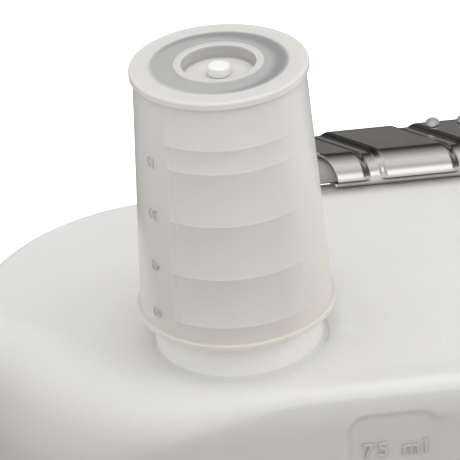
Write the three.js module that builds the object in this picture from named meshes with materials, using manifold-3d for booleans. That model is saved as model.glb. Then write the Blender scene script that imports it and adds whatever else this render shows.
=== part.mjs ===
// Detergent dispenser bottle: a flat-topped blow-moulded tank with a tall pour spout in its neck,
// a measuring cup pushed upside down over the spout, and a hinged pressed-steel carry handle.
// Millimetres, +Z up, +X along the tank, -Y is the front. The origin is on the ground under the
// middle of the whole bottle's box.
import * as THREE from 'three';
import { mergeVertices } from 'three/addons/utils/BufferGeometryUtils.js';
import Module from 'manifold-3d';

const wasm = await Module();
wasm.setup();

// ---- driving dimensions ----
// tank
const tankLength = 260;
const tankDepth = 97;
const deckHeight = 210;
const tankWall = 2;
const tankEdge = 3;            // rounding of the tank's top and bottom edges
const footWidth = 6;           // flat ring that the tank stands on
const pushUp = 3;              // height of the hollow inside the foot ring

// neck
const neckFromEnd = 62;        // neck axis from the left end
const neckFromFront = 28;      // neck axis from the front face
const neckRadius = 19;
const neckWall = 2;
const neckHeight = 12;
const neckFillet = 1.2;

// dose panel pressed into the front wall
const panelWidth = 21.4;
const panelHeight = 24;
const panelCorner = 5;
const panelDepth = 0.8;
const panelFromNeck = 31.5;    // panel centre, right of the neck axis
const panelDrop = 7.2;         // panel top edge, below the deck

// gasket and spout, heights above the deck
const gasketThickness = 1.2;
const spoutWall = 1.3;
const sleeveDrop = 12;         // sleeve reaches this far below the deck
const flangeThickness = 1.5;
const collarHeight = 8.5;      // wall of the drip bowl, above the underside of the flange
const collarWall = 1.4;
const spoutFootRadius = 14;
const spoutTipRadius = 12.3;
const drainWidth = 5;
const drainHeight = 7;

// measuring cup, upside down, heights above the deck
const cupTop = 69.3;
const cupRim = 9.4;
const cupRimRadius = 21.9;     // outside of the wall at the rim
const cupEndRadius = 18.85;    // outside of the wall under the end flange
const cupWall = 1.2;
const cupEndThickness = 1.8;
const endFlangeRadius = 19.65;
const rimLipRadius = 22.5;
const rimLipHeight = 1.5;
const bossRadius = 9.95;
const wellRadius = 8.2;
const bossRise = 0.2;          // boss stands proud of the cup's end
const wellDepth = 3;
const wellFloor = 1.5;
const snapLip = 0.8;           // lip on the boss that keeps the seal ring on
const sealThickness = 2;
const sealRadius = 15;
const plugRadius = 2.5;
const plugRise = 2.1;
const plugShank = 1.3;

// carry handle
const handleLength = 89.5;
const slantFront = 0.4;        // sideways run of the grooves per unit of depth, on the rounded front
const slantTop = 1;            // the same on the flat top
const endSlantFront = 0.7;     // the same for the ends of the sheet, on the rounded front
const handleFront = 5.7;       // front lip, in from the tank's back face
const handleOverhang = 11;     // back edge, out from the tank's back face
const handleRise = 7.1;        // top of the plain sheet, above the deck
const handleSheet = 0.9;
const frontRound = 5;          // depth of the rounded front
const lipStraight = 1.6;       // straight lip under the rounded front
const lipFold = 1.6;           // fold turned in under the lip
const padRise = 0.9;
const padPitch = 22.3;
const padLength = 18.1;
const padFirst = -31.7;        // start of the first whole pad, along the handle at mid depth
const shortestPad = 1;

// grey liner strip behind the handle's rounded front
const linerLength = 92;
const linerSheet = 0.8;
const linerBack = 4;           // its upper edge ends this far behind the ridge
const linerFootRise = 0.5;     // underside of its hooked foot, above the deck

// hinge
const hingeWidth = 32;
const middleKnuckle = 14;
const barrelRadius = 2.2;
const pinRadius = 1.2;
const leafSheet = 1;
const hingeSetback = 5.5;      // barrel stands this much further back than the fixed leaf
const leafDrop = 20;           // fixed leaf, down the tank's back face
const stripDepth = 6;          // moving leaf, along the underside of the handle
const stripSheet = 0.7;
const rivetShank = 1;
const rivetHead = 1.8;
const rivetDome = 1.5;
const plateRivetSpacing = 8;
const plateRivetInset = 2;     // rivet line, in from the handle's back edge
const baseRivetSpacing = 20;
const baseRivetRows = [8, 16]; // below the deck
const rivetBulb = 1.8;
const pinHead = 0.9;           // length of each spread end of the hinge pin
const pinHeadRise = 0.7;
const barbLength = 0.8;        // barb under the cup's plug

// clearances
const fitGap = 0.3;            // between pieces that touch or slide
const rivetGap = 0.15;

// ---- derived sizes ----
const neckX = -tankLength / 2 + neckFromEnd;
const neckY = -tankDepth / 2 + neckFromFront;
const backFace = tankDepth / 2;
const neckBore = neckRadius - neckWall;
const gasketBase = neckHeight + rivetGap;
const flangeBase = gasketBase + gasketThickness + rivetGap;
const flangeTop = flangeBase + flangeThickness;
const cupShoulder = cupTop - cupEndThickness;
const wellBottom = cupTop + bossRise - wellDepth;
const bossBottom = wellBottom - wellFloor;
const sealTop = cupShoulder - fitGap;
const sealBottom = sealTop - sealThickness;
const snapTop = Math.min(sealBottom - fitGap, bossBottom);
const snapBottom = snapTop - 1;
const spoutTip = sealBottom - fitGap;
const handleY0 = backFace - handleFront;
const handleY1 = backFace + handleOverhang;
const handleMid = (handleY0 + handleY1) / 2;
const stripTop = handleRise - handleSheet - rivetGap;
const hingeZ = stripTop - stripSheet - fitGap - barrelRadius;
const ridgeY = handleY0 + frontRound;
const hingeY = backFace + fitGap + barrelRadius + hingeSetback;
const rivetY = handleY1 - plateRivetInset;

// outside radius of the cup's wall at a height above the deck
const cupOuter = (z) => THREE.MathUtils.mapLinear(z, cupRim, cupShoulder, cupRimRadius, cupEndRadius);
const cupInner = (z) => cupOuter(z) - cupWall;

// ---- solids ----
const arcSteps = 12;
const columnMargin = 4;        // cutting solids reach this far past what they cut

function toSolid(geometry) {
  const bare = geometry.index ? geometry.toNonIndexed() : geometry.clone();
  bare.deleteAttribute('normal');
  bare.deleteAttribute('uv');
  const merged = mergeVertices(bare, 1e-4);
  const mesh = new wasm.Mesh({
    numProp: 3,
    vertProperties: new Float32Array(merged.attributes.position.array),
    triVerts: new Uint32Array(merged.index.array),
  });
  return new wasm.Manifold(mesh);
}

function toGeometry(solid) {
  const { vertProperties, triVerts } = solid.getMesh();
  const geometry = new THREE.BufferGeometry();
  geometry.setAttribute('position', new THREE.BufferAttribute(new Float32Array(vertProperties), 3));
  geometry.setIndex(new THREE.BufferAttribute(new Uint32Array(triVerts), 1));
  return geometry;
}

// a profile of [radius, height] pairs turned about the vertical axis; it closes on itself
function turned(profile, segments = 48) {
  const points = profile.map(([r, z]) => new THREE.Vector2(r, z));
  if (profile[0][0] > 0) points.push(points[0].clone());
  const geometry = new THREE.LatheGeometry(points, segments);
  geometry.rotateX(Math.PI / 2);
  return outward(toSolid(geometry), geometry);
}

// a lathe profile given clockwise comes out inside out, so it is turned round
function outward(solid, geometry) {
  if (solid.volume() > 0) return solid;
  const flipped = geometry.toNonIndexed();
  const place = flipped.attributes.position;
  for (let i = 0; i < place.count; i += 3) {
    const b = new THREE.Vector3().fromBufferAttribute(place, i + 1);
    const c = new THREE.Vector3().fromBufferAttribute(place, i + 2);
    place.setXYZ(i + 1, c.x, c.y, c.z);
    place.setXYZ(i + 2, b.x, b.y, b.z);
  }
  return toSolid(flipped);
}

function box(x0, x1, y0, y1, z0, z1) {
  const geometry = new THREE.BoxGeometry(x1 - x0, y1 - y0, z1 - z0);
  geometry.translate((x0 + x1) / 2, (y0 + y1) / 2, (z0 + z1) / 2);
  return toSolid(geometry);
}

// upright rod about Z
function rod(radius, z0, z1, x = 0, y = 0, segments = 20) {
  const geometry = new THREE.CylinderGeometry(radius, radius, z1 - z0, segments);
  geometry.rotateX(Math.PI / 2);
  geometry.translate(x, y, (z0 + z1) / 2);
  return toSolid(geometry);
}

// rod along X about the hinge line
function hingeRod(radius, x0, x1, segments = 24) {
  const geometry = new THREE.CylinderGeometry(radius, radius, x1 - x0, segments);
  geometry.rotateZ(Math.PI / 2);
  geometry.translate((x0 + x1) / 2, hingeY, deckHeight + hingeZ);
  return toSolid(geometry);
}

// outline with two straight sides and round ends, inset from the tank's outline
function tankOutline(inset) {
  const radius = tankDepth / 2 - inset;
  const reach = tankLength / 2 - tankDepth / 2;
  const shape = new THREE.Shape();
  shape.absarc(reach, 0, radius, -Math.PI / 2, Math.PI / 2);
  shape.absarc(-reach, 0, radius, Math.PI / 2, Math.PI * 1.5);
  shape.closePath();
  return shape;
}

// rounded tank-shaped block from z0 to z1, with its edges rounded by `edge`
function tankBlock(inset, z0, z1, edge, edgeSteps = 3) {
  const geometry = new THREE.ExtrudeGeometry(tankOutline(inset + edge), {
    depth: z1 - z0 - 2 * edge,
    bevelEnabled: edge > 0,
    bevelSize: edge,
    bevelThickness: edge,
    bevelSegments: edgeSteps,
    curveSegments: arcSteps * 2,
  });
  geometry.translate(0, 0, z0 + edge);
  return toSolid(geometry);
}

function roundedRectangle(width, height, corner) {
  const w = width / 2 - corner;
  const h = height / 2 - corner;
  const shape = new THREE.Shape();
  shape.absarc(w, h, corner, 0, Math.PI / 2);
  shape.absarc(-w, h, corner, Math.PI / 2, Math.PI);
  shape.absarc(-w, -h, corner, Math.PI, Math.PI * 1.5);
  shape.absarc(w, -h, corner, Math.PI * 1.5, Math.PI * 2);
  shape.closePath();
  return shape;
}

// ---- pieces that belong to the tank ----
function bottleBody() {
  const outside = tankBlock(0, 0, deckHeight, tankEdge);
  const inside = tankBlock(tankWall, pushUp + tankWall, deckHeight - tankWall, tankEdge - 1, 2);
  const hollowFoot = tankBlock(footWidth + tankEdge, -1, pushUp, 0);
  const neck = turned([
    [0, deckHeight - tankWall], [neckRadius, deckHeight - tankWall],
    [neckRadius + neckFillet, deckHeight - tankWall], [neckRadius + neckFillet, deckHeight],
    [neckRadius, deckHeight + neckFillet], [neckRadius, deckHeight + neckHeight],
    [0, deckHeight + neckHeight],
  ]).translate([neckX, neckY, 0]);
  const bore = rod(neckBore, deckHeight - tankWall - 1, deckHeight + neckHeight + 1, neckX, neckY, 48);
  const panelBlock = new THREE.ExtrudeGeometry(roundedRectangle(panelWidth, panelHeight, panelCorner), {
    depth: panelDepth + 1, bevelEnabled: false, curveSegments: 4,
  });
  panelBlock.rotateX(Math.PI / 2);
  panelBlock.translate(
    neckX + panelFromNeck, -tankDepth / 2 + panelDepth, deckHeight - panelDrop - panelHeight / 2,
  );
  let body = outside.subtract(inside).subtract(hollowFoot).add(neck).subtract(bore);
  body = body.subtract(toSolid(panelBlock));
  for (const place of baseRivetPlaces()) body = body.subtract(baseRivetBore(place, rivetShank + rivetGap));
  return body;
}

function neckGasket() {
  const inner = neckBore;
  return turned([
    [inner, deckHeight + gasketBase], [neckRadius, deckHeight + gasketBase],
    [neckRadius, deckHeight + gasketBase + gasketThickness],
    [inner, deckHeight + gasketBase + gasketThickness],
  ]).translate([neckX, neckY, 0]);
}

// sleeve in the neck, flange and drip bowl over it, and the tall tapered spout
function pourSpout() {
  const sleeveOuter = neckBore - fitGap;
  const sleeveInner = sleeveOuter - spoutWall;
  const collarTop = flangeBase + collarHeight;
  const collarOuter = (z) => cupInner(z) - fitGap;
  const profile = [
    [sleeveInner, -sleeveDrop], [sleeveOuter, -sleeveDrop], [sleeveOuter, flangeBase],
    [collarOuter(flangeBase), flangeBase], [collarOuter(collarTop), collarTop],
    [collarOuter(collarTop) - collarWall, collarTop], [collarOuter(flangeTop) - collarWall, flangeTop],
    [spoutFootRadius, flangeTop], [spoutTipRadius, spoutTip], [spoutTipRadius - spoutWall, spoutTip],
    [spoutFootRadius - spoutWall, flangeTop], [sleeveInner, flangeBase],
  ];
  const spout = turned(profile.map(([r, z]) => [r, z + deckHeight]));
  const drain = box(
    -drainWidth / 2, drainWidth / 2, spoutFootRadius - 2 * spoutWall, spoutFootRadius + spoutWall,
    deckHeight + flangeTop, deckHeight + flangeTop + drainHeight,
  );
  return spout.subtract(drain).translate([neckX, neckY, 0]);
}

// ---- measuring cup, its seal ring and plug ----
function measuringCup() {
  const profile = [
    [plugShank + rivetGap, wellBottom], [wellRadius, wellBottom], [wellRadius, cupTop + bossRise],
    [bossRadius, cupTop + bossRise], [bossRadius, cupTop], [endFlangeRadius, cupTop],
    [endFlangeRadius, cupShoulder], [cupOuter(cupShoulder), cupShoulder],
    [cupOuter(cupRim + rimLipHeight), cupRim + rimLipHeight], [rimLipRadius, cupRim + rimLipHeight],
    [rimLipRadius, cupRim], [cupInner(cupRim), cupRim], [cupInner(cupShoulder), cupShoulder],
    [bossRadius, cupShoulder], [bossRadius, snapTop], [bossRadius + snapLip, snapTop],
    [bossRadius, snapBottom], [plugShank + rivetGap, snapBottom],
  ];
  return turned(profile.map(([r, z]) => [r, z + deckHeight])).translate([neckX, neckY, 0]);
}

function cupSealRing() {
  const inner = bossRadius + fitGap;
  return turned([
    [inner, deckHeight + sealBottom], [sealRadius, deckHeight + sealBottom],
    [sealRadius, deckHeight + sealTop], [inner, deckHeight + sealTop],
  ]).translate([neckX, neckY, 0]);
}

function cupCentrePlug() {
  const headBase = wellBottom + rivetGap;
  const tailTop = snapBottom - rivetGap;
  return turned([
    [0, tailTop - barbLength], [plugRadius * 0.6, tailTop - barbLength], [plugRadius * 0.8, tailTop],
    [plugShank, tailTop], [plugShank, headBase], [plugRadius, headBase],
    [plugRadius, headBase + plugRise - 0.4], [plugRadius - 0.4, headBase + plugRise],
    [0, headBase + plugRise],
  ].map(([r, z]) => [r, z + deckHeight]), 24).translate([neckX, neckY, 0]);
}

// ---- carry handle ----
// section of the pressed sheet across the tank, offset outwards by `grow`
function handleSection(grow) {
  const front = handleY0 - grow;
  const top = handleRise + grow;
  const turn = handleY0 + frontRound;
  const shape = new THREE.Shape();
  shape.moveTo(front, grow > 0 ? lipStraight : fitGap);
  shape.lineTo(front, lipStraight);
  shape.absellipse(turn, lipStraight, frontRound + grow, top - lipStraight, Math.PI, Math.PI / 2, true, 0);
  shape.lineTo(handleY1, top);
  const under = handleRise - handleSheet;
  shape.lineTo(handleY1, under);
  shape.lineTo(turn, under);
  shape.absellipse(turn, lipStraight, frontRound - handleSheet, under - lipStraight,
    Math.PI / 2, Math.PI, false, 0);
  if (grow === 0) {
    shape.lineTo(handleY0 + handleSheet, fitGap + handleSheet);
    shape.lineTo(handleY0 + handleSheet + lipFold, fitGap + handleSheet);
    shape.lineTo(handleY0 + handleSheet + lipFold, fitGap);
  }
  shape.closePath();
  return shape;
}

// section (y, z) standing across the tank, drawn out along X
function alongHandle(section, length, curveSegments) {
  const geometry = new THREE.ExtrudeGeometry(section, { depth: length, bevelEnabled: false, curveSegments });
  geometry.applyMatrix4(new THREE.Matrix4().set(0, 0, 1, 0, 1, 0, 0, 0, 0, 1, 0, 0, 0, 0, 0, 1));
  geometry.translate(-length / 2, 0, deckHeight);
  return toSolid(geometry);
}

function handleSheetSolid(grow) {
  return alongHandle(handleSection(grow), handleLength + 2 * slantTop * (handleY1 - handleY0), arcSteps / 2);
}

// column over a stretch x0..x1 of the handle, taken at its mid depth; its sides run slanted
// across the top and bend at the ridge, to a lesser slant down the rounded front
function slantedColumn(x0, x1, frontSlant) {
  const y0 = handleY0 - columnMargin;
  const y1 = handleY1 + columnMargin;
  const shift = (y) => -slantTop * (Math.max(y, ridgeY) - handleMid) - frontSlant * Math.min(0, y - ridgeY);
  const shape = new THREE.Shape([
    new THREE.Vector2(x0 + shift(y0), y0), new THREE.Vector2(x1 + shift(y0), y0),
    new THREE.Vector2(x1 + shift(ridgeY), ridgeY), new THREE.Vector2(x1 + shift(y1), y1),
    new THREE.Vector2(x0 + shift(y1), y1), new THREE.Vector2(x0 + shift(ridgeY), ridgeY),
  ]);
  const depth = handleRise + padRise + 2 * columnMargin;
  const geometry = new THREE.ExtrudeGeometry(shape, { depth, bevelEnabled: false });
  geometry.translate(0, 0, deckHeight - columnMargin);
  return toSolid(geometry);
}

// start and end of each raised pad along the handle, cut short at the handle's ends
function padStretches() {
  const end = handleLength / 2;
  const pads = [];
  for (let start = padFirst - padPitch; start < end; start += padPitch) {
    const from = start < -end ? -end - columnMargin : start;
    const to = Math.min(start + padLength, end + columnMargin);
    if (to > -end + shortestPad && from < end - shortestPad) pads.push([from, to]);
  }
  return pads;
}

function handlePlate() {
  const end = handleLength / 2;
  const ends = slantedColumn(-end, end, endSlantFront);
  let plate = handleSheetSolid(0).intersect(ends);
  const raised = handleSheetSolid(padRise).intersect(ends);
  for (const [from, to] of padStretches()) {
    plate = plate.add(raised.intersect(slantedColumn(from, to, slantFront)));
  }
  for (const x of plateRivetPlaces()) plate = plate.subtract(plateRivetBore(x));
  return plate;
}

// strip that follows the inside of the rounded front, one clearance behind the sheet
function handleLiner() {
  const across = frontRound - handleSheet - fitGap;
  const up = handleRise - handleSheet - lipStraight - fitGap;
  const innerAcross = across - linerSheet;
  const innerUp = up - linerSheet;
  const footY = handleY0 + handleSheet + lipFold + fitGap;
  const shape = new THREE.Shape();
  shape.absellipse(ridgeY, lipStraight, across, up, Math.PI, Math.PI / 2, true, 0);
  shape.lineTo(ridgeY + linerBack, lipStraight + up);
  shape.lineTo(ridgeY + linerBack, lipStraight + innerUp);
  const innerEnd = Math.PI - Math.asin(linerSheet / innerUp);
  shape.absellipse(ridgeY, lipStraight, innerAcross, innerUp, Math.PI / 2, innerEnd, false, 0);
  shape.lineTo(footY + linerSheet, lipStraight + linerSheet);
  shape.lineTo(footY + linerSheet, linerFootRise);
  shape.lineTo(footY, linerFootRise);
  shape.lineTo(footY, lipStraight);
  shape.closePath();
  return alongHandle(shape, linerLength, arcSteps);
}

// ---- hinge ----
const plateRivetPlaces = () => [-1.5, -0.5, 0.5, 1.5].map((step) => step * plateRivetSpacing);

const plateRivetBore = (x) =>
  rod(rivetShank + rivetGap, deckHeight + 1, deckHeight + handleRise + 5, x, rivetY);

function baseRivetPlaces() {
  const places = [];
  for (const drop of baseRivetRows) {
    for (const side of [-1, 1]) places.push({ x: side * baseRivetSpacing / 2, z: deckHeight - drop });
  }
  return places;
}

function baseRivetBore({ x, z }, radius) {
  const geometry = new THREE.CylinderGeometry(radius, radius, 12, 16);
  geometry.translate(x, backFace, z);
  return toSolid(geometry);
}

// fixed leaf down the back of the tank, with the two outer knuckles
function hingeBase() {
  const half = hingeWidth / 2;
  const y0 = backFace + fitGap;
  const notch = middleKnuckle / 2 + fitGap;
  const axisZ = deckHeight + hingeZ;
  let base = box(-half, half, y0, y0 + leafSheet, deckHeight - leafDrop, axisZ + leafSheet / 2);
  base = base.add(box(-half, half, y0, hingeY, axisZ - leafSheet / 2, axisZ + leafSheet / 2));
  base = base.add(hingeRod(barrelRadius, -half, half));
  base = base.subtract(box(-notch, notch, hingeY - barrelRadius - fitGap, hingeY + barrelRadius + 1,
    axisZ - barrelRadius - fitGap, axisZ + barrelRadius + 1));
  base = base.subtract(hingeRod(pinRadius + rivetGap, -half - 1, half + 1));
  for (const place of baseRivetPlaces()) base = base.subtract(baseRivetBore(place, rivetShank + rivetGap));
  return base;
}

// moving leaf: a strip under the back edge of the handle, with the middle knuckle
function hingeLeaf() {
  const half = hingeWidth / 2;
  const knuckle = middleKnuckle / 2;
  const y1 = handleY1 - rivetGap;
  let leaf = box(-half, half, y1 - stripDepth, y1, deckHeight + stripTop - stripSheet, deckHeight + stripTop);
  leaf = leaf.add(hingeRod(barrelRadius, -knuckle, knuckle));
  leaf = leaf.add(box(-knuckle, knuckle, hingeY - pinRadius, hingeY + pinRadius,
    deckHeight + hingeZ + pinRadius, deckHeight + stripTop - stripSheet / 2));
  leaf = leaf.subtract(hingeRod(pinRadius + rivetGap, -knuckle - 1, knuckle + 1));
  for (const x of plateRivetPlaces()) {
    leaf = leaf.subtract(rod(rivetShank + rivetGap, deckHeight + stripTop - stripSheet - 0.1,
      deckHeight + stripTop + 1, x, rivetY));
  }
  return leaf;
}

function hingePin() {
  const end = hingeWidth / 2 + rivetGap;
  return hingeRod(pinRadius, -end, end)
    .add(hingeRod(pinRadius + pinHeadRise, end, end + pinHead))
    .add(hingeRod(pinRadius + pinHeadRise, -end - pinHead, -end));
}

// half-round head on a shank, along +Z from the head's underside at 0
function rivetProfile(shankLength, tail) {
  const profile = [[0, rivetDome]];
  for (let step = 1; step <= 3; step += 1) {
    const angle = (step / 3) * Math.PI / 2;
    profile.push([rivetHead * Math.sin(angle), rivetDome * Math.cos(angle)]);
  }
  profile.push([rivetShank, 0], [rivetShank, -shankLength]);
  if (tail > rivetShank) profile.push([tail, -shankLength - 0.1], [tail, -shankLength - 1]);
  profile.push([0, profile[profile.length - 1][1]]);
  return profile.reverse();
}

function plateRivet(x) {
  const padTop = deckHeight + handleRise + padRise + rivetGap;
  const depth = padTop - (deckHeight + stripTop - stripSheet);
  return turned(rivetProfile(depth, 0), 16).translate([x, rivetY, padTop]);
}

function baseRivet({ x, z }) {
  const grip = tankWall + fitGap + leafSheet + 2 * rivetGap;
  return turned(rivetProfile(grip, rivetBulb), 16)
    .rotate([-90, 0, 0])
    .translate([x, backFace + fitGap + leafSheet + rivetGap, z]);
}

// ---- finishes ----
const finish = (color, roughness, metalness) => ({ color, roughness, metalness });
const finishes = {
  tank: finish(0xdcdbd6, 0.42, 0),
  neckWhite: finish(0xe6e5e0, 0.4, 0),
  cup: finish(0xd8d5cf, 0.3, 0),
  plug: finish(0xf5f4f0, 0.35, 0),
  seal: finish(0xa9a9aa, 0.6, 0),
  chrome: finish(0xbdb9b4, 0.15, 1),
  steel: finish(0xa6a4a0, 0.3, 1),
  liner: finish(0x8f8c89, 0.6, 0),
};

// ---- assembly ----
const bottle = new THREE.Group();

function place(name, solid, look) {
  const mesh = new THREE.Mesh(toGeometry(solid), new THREE.MeshStandardMaterial(look));
  mesh.name = name;
  bottle.add(mesh);
}

place('bottle_body', bottleBody(), finishes.tank);
place('neck_gasket', neckGasket(), finishes.seal);
place('pour_spout', pourSpout(), finishes.neckWhite);
place('measuring_cup', measuringCup(), finishes.cup);
place('cup_seal_ring', cupSealRing(), finishes.seal);
place('cup_centre_plug', cupCentrePlug(), finishes.plug);
place('handle_plate', handlePlate(), finishes.chrome);
place('handle_liner', handleLiner(), finishes.liner);
place('hinge_leaf', hingeLeaf(), finishes.steel);
place('hinge_base', hingeBase(), finishes.steel);
place('hinge_pin', hingePin(), finishes.steel);
plateRivetPlaces().forEach((x, i) => place(`plate_rivet_${i + 1}`, plateRivet(x), finishes.steel));
baseRivetPlaces().forEach((spot, i) => place(`base_rivet_${i + 1}`, baseRivet(spot), finishes.steel));

// the handle hangs over the back, so the middle of the whole box is a little behind the tank's
const whole = new THREE.Box3().setFromObject(bottle).getCenter(new THREE.Vector3());
bottle.position.set(-whole.x, -whole.y, 0);

export default bottle;
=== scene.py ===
import math

import bmesh
import bpy
from mathutils import Matrix, Vector
from mathutils.geometry import delaunay_2d_cdt


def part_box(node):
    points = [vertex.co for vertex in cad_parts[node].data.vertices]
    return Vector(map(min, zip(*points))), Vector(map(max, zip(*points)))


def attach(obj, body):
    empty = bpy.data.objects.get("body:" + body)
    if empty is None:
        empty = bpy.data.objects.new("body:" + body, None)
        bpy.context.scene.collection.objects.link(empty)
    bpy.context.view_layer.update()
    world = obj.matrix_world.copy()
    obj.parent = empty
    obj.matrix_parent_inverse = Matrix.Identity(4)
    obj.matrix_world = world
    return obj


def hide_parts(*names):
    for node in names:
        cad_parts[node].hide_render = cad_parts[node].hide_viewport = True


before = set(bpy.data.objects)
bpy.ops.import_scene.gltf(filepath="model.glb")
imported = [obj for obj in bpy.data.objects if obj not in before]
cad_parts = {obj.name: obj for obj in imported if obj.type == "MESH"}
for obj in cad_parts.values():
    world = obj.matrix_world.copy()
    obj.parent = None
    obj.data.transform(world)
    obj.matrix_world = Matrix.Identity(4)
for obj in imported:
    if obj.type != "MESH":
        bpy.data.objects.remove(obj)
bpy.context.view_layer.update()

mm = 0.001


def boxMiddle(node):
    low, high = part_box(node)
    return (low + high) / 2


# Places that every piece is built from
neckAxis = boxMiddle("cup_seal_ring")
bodyLow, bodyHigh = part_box("bottle_body")
neckTop = bodyHigh.z
neckHeight = 12 * mm
deck = neckTop - neckHeight
hingeLine = boxMiddle("hinge_pin")
print("frame read: deck at", round(deck, 4), "neck at", round(neckAxis.x, 4), round(neckAxis.y, 4))


# Small helpers

def smooth(value, low, high):
    t = min(1.0, max(0.0, (value - low) / (high - low)))
    return t * t * (3 - 2 * t)


def makeObject(name, mesh):
    piece = bpy.data.objects.new(name, mesh)
    bpy.context.collection.objects.link(piece)
    return piece


def meshFrom(name, points, faces, smoothShade=True):
    mesh = bpy.data.meshes.new(name)
    mesh.from_pydata(points, [], faces)
    mesh.update()
    if smoothShade:
        mesh.shade_smooth()
    return mesh


def cleanUp(mesh, merge=1e-7):
    # join doubled points, then turn every face outwards
    bm = bmesh.new()
    bm.from_mesh(mesh)
    bmesh.ops.remove_doubles(bm, verts=bm.verts, dist=merge)
    bmesh.ops.recalc_face_normals(bm, faces=bm.faces)
    bm.to_mesh(mesh)
    bm.free()
    return mesh


def joinInto(target, others):
    # add other meshes' faces to the target piece
    bm = bmesh.new()
    bm.from_mesh(target.data)
    for other in others:
        bm.from_mesh(other.data)
    bm.to_mesh(target.data)
    bm.free()
    for other in others:
        bpy.data.objects.remove(other)
    target.data.shade_smooth()


def bakeModifiers(piece):
    # the evaluated mesh takes the place of the live one
    graph = bpy.context.evaluated_depsgraph_get()
    result = bpy.data.meshes.new_from_object(piece.evaluated_get(graph))
    piece.modifiers.clear()
    piece.data = result
    return piece


lathe = dict(cornerSteps=5, cornerShare=0.45, guard=0.35 * mm, leastGuard=0.02 * mm)


def roundedProfile(points, closed):
    # points are (radius, height, corner rounding); corners become arcs with a short flat on each side
    count = len(points)
    out = []
    for i, (r, z, soft) in enumerate(points):
        here = Vector((r, z))
        atEnd = not closed and i in (0, count - 1)
        if soft <= 0 or atEnd:
            out.append(here)
            continue
        before = Vector(points[i - 1][:2])
        after = Vector(points[(i + 1) % count][:2])
        inward, outward = before - here, after - here
        turn = inward.angle(outward)
        longest = min(inward.length, outward.length) * lathe["cornerShare"]
        reach = min(soft / math.tan(turn / 2), longest)
        start = here + inward.normalized() * reach
        end = here + outward.normalized() * reach
        spare = min(inward.length, outward.length) - 2 * reach
        guard = min(lathe["guard"], spare * 0.4)
        if guard > lathe["leastGuard"]:
            out.append(start + inward.normalized() * guard)
        for step in range(lathe["cornerSteps"] + 1):
            t = step / lathe["cornerSteps"]
            out.append(start * (1 - t) ** 2 + here * 2 * t * (1 - t) + end * t * t)
        if guard > lathe["leastGuard"]:
            out.append(end + outward.normalized() * guard)
    return out


def turnedPiece(name, points, centre, segments=128, closed=True):
    # a rounded profile turned about an upright axis
    profile = roundedProfile(points, closed)
    verts, faces, rings = [], [], []
    for point in profile:
        if point.x < 1e-6:
            rings.append([len(verts)] * segments)
            verts.append((centre.x, centre.y, point.y))
            continue
        ring = []
        for step in range(segments):
            angle = 2 * math.pi * step / segments
            ring.append(len(verts))
            x = centre.x + point.x * math.cos(angle)
            y = centre.y + point.x * math.sin(angle)
            verts.append((x, y, point.y))
        rings.append(ring)
    pairs = list(zip(rings, rings[1:]))
    if closed:
        pairs.append((rings[-1], rings[0]))
    for low, high in pairs:
        for step in range(segments):
            nxt = (step + 1) % segments
            corner = [low[step], low[nxt], high[nxt], high[step]]
            face = [c for k, c in enumerate(corner) if c not in corner[:k]]
            if len(face) > 2:
                faces.append(face)
    return makeObject(name, cleanUp(meshFrom(name, verts, faces)))


# Shader groups shared by the finishes

def addNode(tree, kind, **values):
    node = tree.nodes.new(kind)
    for key, value in values.items():
        setattr(node, key, value)
    return node


def feed(tree, node, **links):
    # each link is a socket's name, or n and its number, with an output socket or a plain value
    for key, value in links.items():
        numbered = key[0] == "n" and key[1:].isdigit()
        socket = node.inputs[int(key[1:]) if numbered else key.replace("_", " ")]
        if isinstance(value, bpy.types.NodeSocket):
            tree.links.new(value, socket)
        else:
            socket.default_value = value
    return node


def newGroup(name, inputs, outputs):
    tree = bpy.data.node_groups.new(name, "ShaderNodeTree")
    for label, kind, value in inputs:
        socket = tree.interface.new_socket(label, in_out="INPUT", socket_type=kind)
        socket.default_value = value
    for label, kind in outputs:
        tree.interface.new_socket(label, in_out="OUTPUT", socket_type=kind)
    return tree, tree.nodes.new("NodeGroupInput"), tree.nodes.new("NodeGroupOutput")


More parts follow.
